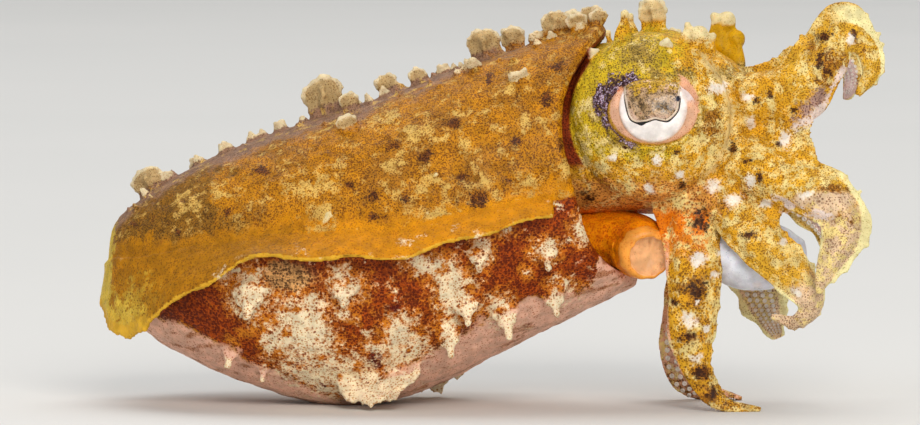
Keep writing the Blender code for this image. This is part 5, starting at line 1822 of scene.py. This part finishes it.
        crown, crown_rim = np.max([papilla.fields(p) for papilla in self.papillae()], axis=0)
        horn = self.horn_fields(p)
        cheek = smooth(27.2, 23.6, z + 0.8 * rough) * (1 - limb) * smooth(27.5, 24.0, x)
        face = (1 - limb) * (x < 30)
        veil = ((arm == 2) | (arm == 4)) * smooth(0.42, 0.6, share) + (arm == 5) * smooth(0.3, 0.6, share)
        oval = spots(p, ((38.3, 23.0, 2.9, 1.4), (35.6, 23.2, 1.6, 0.8)), 0.5) * limb * (arm == 2)
        on_left = (p[:, 0] < 30) * (p[:, 1] > 3.5)
        flap_top = smooth(41.3, 42.0, p[:, 2] + 0.3 * small) * (p[:, 0] > 22.5) * on_left
        hem = np.maximum(self.hem_field(p, 1.2) * (arm == 0),
                         self.hem_field(p, 0.7) * (arm == 2) * smooth(-1.2, 0.2, small)) * limb
        mottle = smooth(-0.4, 0.9, grains + 0.5 * rough + 0.25 * (p[:, 0] > 25) - 0.3 * (z > 34))
        blond = 0.95 * spots(marks, self.blond, 1.2) * smooth(-0.9, 0.3, grains)
        return {
            "limb": limb * (1 - 0.5 * legs) * smooth(0.15, 0.4, share),
            "veil": np.maximum(limb * veil, oval),
            "bruise": spots(marks, self.bruise, 0.7) * limb * (arm == 0),
            "hem": hem,
            "brim": self.brim(p, 0.97, 0.5) * (1 - limb) * smooth(-0.9, 0.3, small),
            "lilac": 0.25 * patch * flank * (1 - limb),
            "salmon": np.maximum(limb * (arm == 7) * smooth(0.2, 0.5, share),
                                 (arm == 6) * here * smooth(-0.95, -1.12, a) * smooth(0.08, 0.16, share)),
            "green": smooth(1.25, 0.8, bulge) * smooth(0.3, -0.7, u / 6 - 0.7 + 0.4 * rough)
            * smooth(-6.5, -4, w),
            "shade": np.maximum(spots(marks, self.shade, 1.0), 0.8 * (np.hypot(u / 7.0, w / 5.6) < 1)
                                * smooth(0.1, 0.8, rough + 0.3 * small)) * (1 - limb),
            "brown": np.max([spots(marks, self.brown, 0.9), 0.6 * limb * smooth(0.3, 1.0, rough + 0.3),
                             legs * limb * spots(marks, self.dark, 0.8, 1.25),
                             legs * limb * 0.6 * smooth(6, 2, p[:, 2])], axis=0),
            "cheek": cheek,
            "coarse": np.max([0.9 * cheek, 0.8 * legs * limb, 0.9 * oval], axis=0),
            "ember": smooth(22.8, 20.6, z + 0.4 * rough) * face * (x < 25),
            "blond": np.maximum(blond, mottle * (0.62 + 0.1 * limb)) * (1 - 0.8 * oval) * (1 - 0.7 * patch),
            "white": spots(marks, self.white, 0.9, 0.75) * (1 - 0.8 * oral),
            "dark": spots(marks, self.dark, 1.2, 0.68) * (1 - oral) * (1 - 0.7 * rim),
            "socket": arc * flank * (1 - limb),
            "purple": patch * flank * (1 - limb),
            "rim": rim * (1 - 0.4 * legs),
            "oral": oral,
            "crown": crown,
            "crown_edge": crown_rim,
            "horn": np.maximum(horn, flap_top),
            "yellow_crown": smooth(21.6, 22.6, p[:, 0]) * smooth(36.9, 38.2, p[:, 2]) * on_left
            * (1 - flap_top),
            # painted shade: a dark red-brown crescent on the head where it goes into the collar
            "neck": smooth(0.93, 0.99, outline) * smooth(12.6, 11.4, p[:, 0]) * smooth(25.5, 27.5, p[:, 2]),
        }

    def build(self) -> bpy.types.Object:
        """The dressed head skin.

        Returns:
            The object, in place of the head and the eight arms.
        """
        skin = self.surface()
        skin.values = self.fields(skin.points)
        obj = skin.made("head_skin", HEAD_FINISH.made())
        ends = itertools.product(self.arms, ("base", "tip"))
        nodes = [f"{arm.name}_{arm.side.word}_{end}" for arm, end in ends]
        return shown(obj, ["head", *nodes])


@dataclass(frozen=True)
class EyePiece:
    """An eye: a low dome on which an upper flap hangs over a white crescent, the pupil between them."""

    head: HeadForm
    side: Side
    rings: int = 120
    sides: int = 260
    patch: Row = (5.5, 4.3)
    flap_rise: float = 0.42
    white_rise: float = 0.26
    pupil_depth: float = 0.26
    # the flap's lower edge, forward and up from the eye's middle
    brow: Rows = (
        (-3.1, 3.5), (-2.95, 2.0), (-2.4, -0.28), (-1.68, -0.95), (-0.48, -0.88), (0.44, -0.62), (1.1, -0.75),
        (1.9, -0.75), (2.8, 0.12), (3.05, 1.05), (3.1, 2.2), (3.2, 3.3),
    )
    # middle and radii of the white field, then of the orange ring
    white: Row = (0.2, 0.6, 3.7, 3.8)
    ring: Row = (0.31, 0.28, 4.8, 3.6)
    ring_top: float = 4.5

    def build(self) -> bpy.types.Object:
        """The eye.

        Formula: an ellipsoid's y over a polar grid, plus a smooth step up across the brow's edge, a
        low swell for the white field, and a groove for the pupil along the edge.

        Returns:
            The dressed piece.
        """
        share = np.linspace(0.004, 1, self.rings)[:, None]
        turn = circle(self.sides)[None]
        u, w = self.patch[0] * share * np.cos(turn), self.patch[1] * share * np.sin(turn)
        a, b, c = self.head.eye_size
        dome = b * np.sqrt(np.maximum(1 - (u / a) ** 2 - (w / c) ** 2, 0))

        brow = spline(self.brow, steps(400))
        flat = np.stack([u, w, 0 * u], -1).reshape(-1, 3)
        away = nearest(flat, np.column_stack([brow, 0 * brow[:, 0]]))[1].reshape(u.shape)
        edge = np.interp(u, brow[:, 0], brow[:, 1], left=9.0, right=9.0)
        above = np.where(w > edge, away, -away)
        flap = smooth(-0.05, 0.12, above)
        from_white = np.hypot((u - self.white[0]) / self.white[2], (w - self.white[1]) / self.white[3])
        white = smooth(1.04, 0.94, from_white)
        high = np.where(w > self.ring[1], self.ring_top, self.ring[3])
        ring = smooth(1.05, 0.97, np.hypot((u - self.ring[0]) / self.ring[2], (w - self.ring[1]) / high))
        wedge = np.exp(-((u + 1.0) / 0.42) ** 2) * 0.14 + 0.03 * np.exp(-((u - 1.9) / 0.4) ** 2)
        pupil = smooth(0.085, 0.03, np.abs(above + 0.05 + 0.8 * wedge) - wedge) * smooth(2.3, 1.2, w)
        speck = cloud(flat, 0.8, 3, 17).reshape(u.shape)
        merge = smooth(1.9, 3.0, w + 0.5 * speck) * smooth(3.2, 2.6, np.abs(u - 0.25))
        flap = flap * smooth(3.6, 2.2, w)

        hang = self.flap_rise * flap * (1 - 0.5 * smooth(0.2, 1.6, above))
        y = self.head.eye[1] + dome + (hang + self.white_rise * white * (1 - flap)) - self.pupil_depth * pupil
        front = np.stack([self.head.eye[0] + u, y, self.head.eye[2] + w], -1)
        creases = cloud(front.reshape(-1, 3), 0.9, 2, 3).reshape(u.shape)
        front[..., 1] += 0.05 * creases * np.maximum(flap, 1 - ring)
        back = np.array(self.head.eye) + 0.8 * np.stack([u[-1], 0 * u[-1], w[-1]], -1)
        points, faces = lofted(self.side.place(np.concatenate([front, back[None]])))
        field_values = {
            "lid": (1 - ring) * (1 - white),
            # painted highlight: a pale patch on the upper front of the orange ring
            "painted_highlight": smooth(0.5, 2.0, w) * smooth(1.2, 3.0, u) * ring,
            "white": white * (1 - flap),
            "blush": white * (1 - flap) * np.maximum(smooth(1.9, 2.9, w), 0.5 * smooth(0.8, 1.0, from_white)),
            "flap": flap,
            "flap_low": flap * smooth(1.0, 0.2, above),
            "brow": flap * smooth(0.30, 0.16, above) * smooth(-0.02, 0.08, above),
            "merge": merge,
            "mottle": 0.85 * flap * smooth(-0.5, 0.8, speck + 0.35 * smooth(0.8, 2.4, w)),
            "pupil": pupil,
            "night": smooth(1.3, 0.5, np.hypot((u - 2.9) / 0.24, (w - 1.6) / 0.34)),
        }
        behind = np.zeros(len(points) - u.size)
        values = {key: np.concatenate([value.ravel(), behind]) for key, value in field_values.items()}
        # Clear cornea over a white eyeball, a black pupil and a mottled skin flap: smooth, sharp glints, and
        # a painted highlight on the ring
        finish = Skin(
            f"wet_skin_and_lens_of_{self.side.word}_eye", "#eab592", "#b5613a",
            layers=(
                Layer("lid", "#d8a43a", "#7a4e14", 0.40, 0.5),
                # painted highlight: a pale patch on the upper front of the orange ring
                Layer("painted_highlight", "#efdcd6", "#c99a8a", 0.14, 0.3),
                Layer("white", "#f6efea", "#d9cdc8", 0.03, 0.06),
                Layer("blush", "#e6bfae", "#b98a7c", 0.20, 0.25),
                Layer("flap", "#b8966e", "#573a22", 0.44, 0.5),
                Layer("flap_low", "#c4a48e", "#6e4c38", 0.34, 0.6),
                Layer("mottle", "#8f7044", "#2a1a0c", 0.60, 1.0),
                Layer("merge", "#c89c24", "#4e340a", 0.50, 0.9),
                Layer("brow", "#d9c6b0", "#9a8468", 0.25, 0.1),
                Layer("night", "#10163a", "#080a1a", 0.5, 0.1),
                Layer("pupil", "#0b090b", "#0b090b", 0.5, 0.02),
            ),
            spread=0.28, roughness=0.34, shine=0.5, coat=0.5, depth=0.05, bump=0.1,
        )
        obj = Surface(points, faces, values).made(f"eye_of_{self.side.word}_side", finish.made())
        return shown(obj, [f"eye_{self.side.word}"])


@dataclass(frozen=True)
class FunnelPiece:
    """The funnel under the head, turned to the right: a muscular tube with a rolled mouth."""

    head: HeadForm
    path: Rows = ((11.6, 0.6, 18.0), (15.2, 2.4, 18.1), (17.1, 4.7, 17.6), (17.8, 7.0, 17.2))
    radii: Row = (2.8, 3.2, 3.4, 3.3, 2.85)
    shift: Row = (0.5, 0.2, -0.35)  # from the end of the path to the middle of the mouth
    mouth: float = 2.2
    floor: float = 2.0
    depth: float = 0.5
    drop: float = -8.0
    pleats: int = 9
    sides: int = 96

    def build(self) -> bpy.types.Object:
        """The funnel.

        Formula: rings across a smooth path; cosines round the ring pleat the wall, and the profile
        turns in at the mouth and runs back to the floor.

        Returns:
            The dressed piece.
        """
        knots = np.vstack([self.head.cup_point(self.drop), self.path])
        share = steps(90)
        line = spline(knots, share)
        radius = along(self.radii, share)
        forward = unit(np.gradient(line, axis=0))
        tip = forward[-1]
        turn_in = steps(13)[1:-1]
        lip = 0.62 * np.sin(0.5 * np.pi * turn_in) + 0.1 * np.sin(np.pi * turn_in)
        lip_r = self.mouth + (radius[-1] - self.mouth) * np.cos(0.5 * np.pi * turn_in) + 0.03
        inner_t = steps(14)
        middle = line[-1] + turn_in[:, None] * np.array(self.shift) + lip[:, None] * tip
        line = np.vstack([line, middle, middle[-1] - (0.02 + self.depth * inner_t)[:, None] * tip])
        radius = np.concatenate([radius, lip_r, self.mouth + (self.floor - self.mouth) * inner_t])
        forward = np.vstack([forward, np.tile(tip, (len(lip) + len(inner_t), 1))])
        part = np.concatenate([share, np.full(len(lip), 1.0), 1 + inner_t])
        turn = circle(self.sides)[None]
        swing = part[:, None]
        fold = np.cos(self.pleats * turn + 5 * swing) + 0.6 * np.cos(14 * turn - 7 * swing)
        size = radius[:, None] * (1 + 0.018 * fold + 0.02 * np.sin(9 * swing + 2 * np.cos(turn)))
        points, faces = lofted(Side.RIGHT.place(hoops(line, forward, size, turn[0])))
        # paler flesh inside the mouth, partly painted light that brightens the recess
        inside = np.repeat(smooth(1.0, 1.12, part), self.sides)
        brim = np.repeat(smooth(0.985, 1.0, part) * smooth(1.3, 1.02, part), self.sides)
        values = {"inside": np.append(inside, [1, 1]), "brim": np.append(brim, [0, 0]),
                  "shade": smooth(0.1, 0.8, cloud(points, 2.4, 3, 5)), "coarse": np.ones(len(points))}
        # Bare muscle full of orange sacs: smoother than the skin, and light goes deeper into it
        finish = Skin(
            "wet_muscle_of_funnel", "#fc9a08", "#dc6404",
            layers=(
                Layer("shade", "#f0860a", "#c04c02", 0.50, 0.6),
                Layer("brim", "#f0a040", "#dc7c1c", 0.3, 0.3),
                # paler flesh inside the mouth, partly painted light that brightens the recess
                Layer("inside", "#f4b880", "#dc9a60", 0.12, 0.1),
            ),
            spread=0.46, roughness=0.46, shine=0.35, coat=0.1, depth=0.18, bump=0.25,
        )
        obj = Surface(points, faces, values).made("funnel_tube", finish.made())
        return shown(obj, ["funnel"])


@dataclass(frozen=True)
class FeedingArm:
    """A feeding arm drawn in between the other arms: a smooth stalk with a rounded end."""

    side: Side
    path: Rows
    radii: Row

    def build(self) -> bpy.types.Object:
        """The stalk.

        Formula: rings across a smooth path, with a furrow along one side; the radius falls as a
        square root over the last part.

        Returns:
            The dressed piece.
        """
        share = 1 - (1 - steps(80)) ** 1.4
        line = spline(self.path, share)
        radius = along(self.radii, share)
        radius = radius * np.sqrt(np.clip((1.0 - share) / 0.06, 0.02, 1))
        forward = unit(np.gradient(line, axis=0))
        turn = circle(56)
        furrow = -0.05 * np.exp(-((np.mod(turn + 0.4, 2 * np.pi) - np.pi) / 0.16) ** 2)
        ripple = 0.012 * np.sin(40 * share)[:, None] * np.cos(turn)[None]
        size = radius[:, None] * (1 + furrow + ripple)
        points, faces = lofted(self.side.place(hoops(line, forward, size, turn)))
        values = {"blush": smooth(0.1, 0.9, cloud(points, 3.0, 2, 4))}
        # Bare muscle with hardly any sacs: bluish white, smooth and shiny
        finish = Skin(
            f"wet_bare_muscle_of_{self.side.word}_feeding_arm", "#dde0ea", "#aab2cc",
            layers=(Layer("blush", "#e9dfe2", "#c3aab4", 0.12, 0.3),),
            spread=0.12, roughness=0.34, shine=0.5, coat=0.3, depth=0.25, bump=0.12,
        )
        obj = Surface(points, faces, values).made(f"feeding_arm_{self.side.word}", finish.made())
        return shown(obj, [f"tentacle_{self.side.word}"])


@dataclass(frozen=True)
class MouthPiece:
    """The mouth within the crown of arms: a cushion of folded lips and the tip of a dark beak."""

    front: Row = (28.8, 0.0, 28.1)
    gap: float = 0.3
    pitch: float = -12.0
    # forward, radius
    profile: Rows = (
        (0.0, 3.3), (1.0, 3.3), (1.9, 2.7), (2.4, 1.9), (2.2, 1.35), (1.6, 1.2), (0.8, 1.1),
    )
    folds: int = 22
    beak_length: float = 2.3

    @property
    def axes(self) -> Array:
        """Rows of the directions out of the mouth, over it and across it."""
        p = math.radians(self.pitch)
        return np.array([(math.cos(p), 0, math.sin(p)), (-math.sin(p), 0, math.cos(p)), (0, 1, 0)])

    def lips(self) -> bpy.types.Object:
        """The lips: a turned profile whose radius a cosine folds, most at the opening.

        Returns:
            The dressed piece.
        """
        share = steps(46)
        forward, radius = spline(self.profile, share).T
        turn = circle(132)
        fold = np.abs(np.cos(self.folds / 2 * turn + 0.3 * np.sin(3 * turn)))[None] - 0.6
        fold = fold * smooth(0.2, 0.6, share)[:, None]
        size = radius[:, None] + 0.16 * fold
        ahead = (self.gap + forward)[:, None] + 0.1 * fold
        local = np.stack([ahead, size * np.cos(turn)[None], size * np.sin(turn)[None]], -1)
        surface = Surface(*lofted(np.array(self.front) + local @ self.axes))
        # Folded lip muscle: pale pink, wet, without dark sacs
        finish = Skin("wet_lips_round_beak", "#e6d3cc", "#b98f88", spread=0.2, roughness=0.34, coat=0.5,
                      depth=0.2, bump=0.3)
        return shown(surface.made("lips", finish.made()), ["mouth"])

    def beak(self) -> bpy.types.Object:
        """The beak: two hooked horn shells, each a cone that narrows and bends to its point.

        Returns:
            The dressed piece.
        """
        share, turn = steps(16), circle(24)
        ring = np.stack([0 * turn, 0.55 * np.cos(turn), 0.95 * np.sin(turn)], -1)
        size = 0.95 * (1 - share) ** 0.7 + 0.03
        shells = []
        for sign, reach in ((1, self.beak_length), (-1, 0.8 * self.beak_length)):
            middle = np.stack([0.6 + reach * share, sign * (0.55 - 0.5 * share**1.6), 0 * share], -1)
            local = middle[:, None] + size[:, None, None] * ring[None]
            shells.append(lofted(np.array(self.front) + local @ self.axes))
        # Tanned horn: dark brown bands, hard and quite smooth
        material = blank("dark_horn_of_beak")
        add = partial(node, material.node_tree)
        bands = add(Kind.NOISE, add(Kind.PLACE), Scale=1 / (0.6 * MM), Detail=3.0)
        colour = add(Kind.BLEND, add(Kind.RANGE, bands, 0.35, 0.7), "#1c0f0a", "#5a3018")
        shade(material, {"Base Color": colour, "Roughness": add(Kind.RANGE, bands, 0.3, 0.7, 0.18, 0.34)})
        return shown(Surface(*joined(shells)).made("beak", material), [])


@dataclass(frozen=True)
class Suckers:
    """The suckers on the inner face of each arm, in four rows that shrink towards the tip."""

    arms: tuple[ArmForm, ...]
    rows: Row = (-0.66, -0.22, 0.22, 0.66)
    start: float = 0.15
    end: float = 0.975
    size: float = 0.15
    pitch: float = 1.95
    # radius and height of a sucker's rings, from its stalk to its cup
    profile: Rows = ((0.62, -0.5), (1.0, 0.35), (0.86, 0.72), (0.5, 0.5))
    floor: float = 0.1
    sides: int = 8
    samples: int = 900

    def template(self) -> Shell:
        """One sucker: its profile turned round an axis, closed by a fan at the cup's floor.

        Returns:
            An open shell of radius 1.
        """
        turn = circle(self.sides)
        r, h = np.array(self.profile).T
        ring = np.stack([r[:, None] * np.cos(turn), r[:, None] * np.sin(turn), h[:, None] + 0 * turn], -1)
        points = np.vstack([ring.reshape(-1, 3), (0, 0, self.floor)])
        top = fan((len(r) - 1) * self.sides, self.sides, len(points) - 1)
        return points, np.concatenate([wall(len(r), self.sides), top])

    def places(self, arm: ArmForm) -> tuple[Array, Array]:
        """Middles and scaled frames of one arm's suckers.

        Formula: the pitch is a share of the arm's width, so rows close up towards the tip; the
        sucker stands on the inner face's ellipse and looks along its normal.

        Args:
            arm: the arm.
        Returns:
            Rows of x, y, z, and for each the three directions times the sucker's size.
        """
        middle, out, across, sizes = arm.frames(np.linspace(self.start, self.end, self.samples))
        width, forward = sizes[:, 0], np.gradient(middle, axis=0)
        gap = np.maximum(self.pitch * self.size * 1.25 * width, 0.16)
        count = np.cumsum(np.linalg.norm(forward, axis=1) / gap)
        picked = np.searchsorted(count, np.arange(1, int(count[-1])))
        row = np.tile(self.rows, (len(picked), 1))
        half_step = np.arange(len(self.rows)) % 2 * np.gradient(picked.astype(float))[:, None] / 2
        index = np.clip(picked[:, None] + half_step.astype(int), 0, self.samples - 1)
        w = width[index]
        depth = 0.62 * arm.thickness * w
        core = np.sqrt(1 - row**2)
        place = middle[index] + (row * w)[..., None] * across[index] - (depth * core)[..., None] * out[index]
        normal = unit((row / w)[..., None] * across[index] - (core / depth)[..., None] * out[index])
        side_way = unit(np.cross(normal, forward[index]))
        size = np.maximum(self.size * w, 0.1)[..., None, None]
        axes = size * np.stack([side_way, np.cross(normal, side_way), normal], -2)
        keep = (place[..., 2] > 0.75 * size[..., 0, 0] + 0.1).ravel()
        flip = (1, arm.side.value, 1)
        return (place.reshape(-1, 3) * flip)[keep], (axes * flip).reshape(-1, 3, 3)[keep]

    def build(self) -> bpy.types.Object:
        """All suckers as one mesh: the template times every frame.

        Returns:
            The dressed piece.
        """
        points, faces = self.template()
        middles, axes = zip(*(self.places(arm) for arm in self.arms))
        middles, axes = np.concatenate(middles), np.concatenate(axes)
        placed = np.einsum("pk,nkj->npj", points, axes) + middles[:, None]
        mirrored = np.linalg.det(axes) < 0
        turned = np.where(mirrored[:, None, None], faces[None, :, ::-1], faces[None])
        turned = turned + (np.arange(len(middles)) * len(points))[:, None, None]
        # Sucker muscle: pale, smooth and wet, with few sacs
        finish = Skin("wet_suckers", "#ece0d4", "#b9937a", spread=0.12, roughness=0.34, coat=0.4, depth=0.15,
                      bump=0.15)
        surface = Surface(placed.reshape(-1, 3), turned.reshape(-1, 3))
        return shown(surface.made("arm_suckers", finish.made()), [])


# Studio


@dataclass(frozen=True)
class Studio:
    """A pale floor that rises far away, soft lights, and a long lens at the photo's angle."""

    azimuth: float = 5.0
    elevation: float = 3.0
    target: Row = (-2.98, 0.0, 21.08)
    distance: float = 900.0
    frame_width: float = 101.2
    sensor: float = 36.0

    def floor(self) -> None:
        """A round floor whose rim curves up: height = rise x share^2 past the flat part."""
        radius = np.concatenate([np.linspace(20, 3000, 24), np.linspace(3100, 4600, 16)])[:, None]
        height = 1600 * np.clip((radius - 3000) / 1600, 0, 1) ** 2
        turn = circle(64)
        points = np.stack([radius * np.cos(turn), radius * np.sin(turn), height + 0 * turn], -1)
        points = points.reshape(-1, 3)
        middle = fan(0, len(turn), len(points))
        faces = np.concatenate([wall(len(radius), len(turn))[:, ::-1], middle])
        # Matt paint: an even pale ground that only takes soft shadows
        material = blank("matt_pale_floor")
        add = partial(node, material.node_tree)
        grain = add(Kind.NOISE, add(Kind.PLACE), Scale=6.0, Detail=2.0)
        shade(material, {"Base Color": add(Kind.BLEND, grain, "#d9d8d4", "#dedcd8"), "Roughness": 0.9})
        Surface(np.vstack([points, (0, 0, 0)]), faces).made("studio_floor", material)

    def light(self, name: str, place: Row, size: float, power: float, colour: str) -> None:
        """A square area light that looks at the animal.

        Args:
            name: the light's name.
            place: its x, y and z in metres.
            size: its edge in metres.
            power: in watts.
            colour: in hex.
        """
        data = bpy.data.lights.new(name, "AREA")
        data.size, data.energy, data.color = size, power, linear(colour)[:3]
        obj = placed(name, data)
        obj.location = place
        obj.rotation_euler = (Vector(self.target) * MM - Vector(place)).to_track_quat("-Z", "Y").to_euler()

    def world(self) -> None:
        """An even pale sky for fill light."""
        world = bpy.data.worlds.new("studio")
        world.use_nodes = True
        background = world.node_tree.nodes["Background"]
        put(background.inputs["Color"], "#e9ecf0")
        put(background.inputs["Strength"], 0.4)
        bpy.context.scene.world = world

    def camera(self) -> None:
        """A camera on the given angle that frames the photo's width at the target."""
        a, e = math.radians(self.azimuth), math.radians(self.elevation)
        back = Vector((math.sin(a) * math.cos(e), -math.cos(a) * math.cos(e), math.sin(e)))
        data = bpy.data.cameras.new("camera")
        data.sensor_width = self.sensor
        data.lens = self.sensor * self.distance / self.frame_width
        data.clip_start, data.clip_end = 0.01, 50.0
        obj = placed("camera", data)
        obj.location = (Vector(self.target) + back * self.distance) * MM
        obj.rotation_euler = back.to_track_quat("Z", "Y").to_euler()
        bpy.context.scene.camera = obj

    def build(self) -> None:
        """The whole studio."""
        self.floor()
        self.world()
        self.light("key", (0.35, -1.15, 0.62), 0.6, 12.0, "#fffaf4")
        self.light("fill", (-1.1, -0.7, 0.6), 0.9, 3.5, "#f4f7ff")
        self.light("overhead", (0.0, 0.9, 2.4), 2.6, 46.0, "#ffffff")
        self.camera()


def main() -> None:
    """Builds the pieces from back to front, then the studio."""
    logging.basicConfig(level=logging.INFO, format="%(name)s %(message)s")
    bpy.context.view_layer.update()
    mantle = MantleForm()
    fin, flap, head, arms = FinForm(mantle), FlapForm(mantle), HeadForm(mantle), tuple(arm_forms())
    bpy.context.scene.view_settings.view_transform = "Standard"
    Studio().build()
    BodySkin(mantle, fin, flap).build()
    HeadSkin(head, arms).build()
    for side in Side:
        EyePiece(head, side).build()
    FeedingArm(Side.LEFT, ((23.4, 2.9, 23.2), (26.2, 3.2, 20.4), (29.2, 3.4, 18.0), (32.3, 3.4, 16.6),
                           (35.0, 3.2, 16.0)), (2.4, 2.7, 2.8, 2.7, 1.7)).build()
    FeedingArm(Side.RIGHT, ((23.4, 2.9, 23.2), (25.2, 4.2, 19.8), (27.6, 5.2, 16.9), (30.6, 4.8, 15.8),
                            (33.4, 4.2, 15.4)), (2.4, 3.0, 3.4, 2.9, 1.8)).build()
    FunnelPiece(head).build()
    mouth = MouthPiece()
    mouth.lips()
    mouth.beak()
    Suckers(arms).build()


if __name__ == "__main__":
    main()
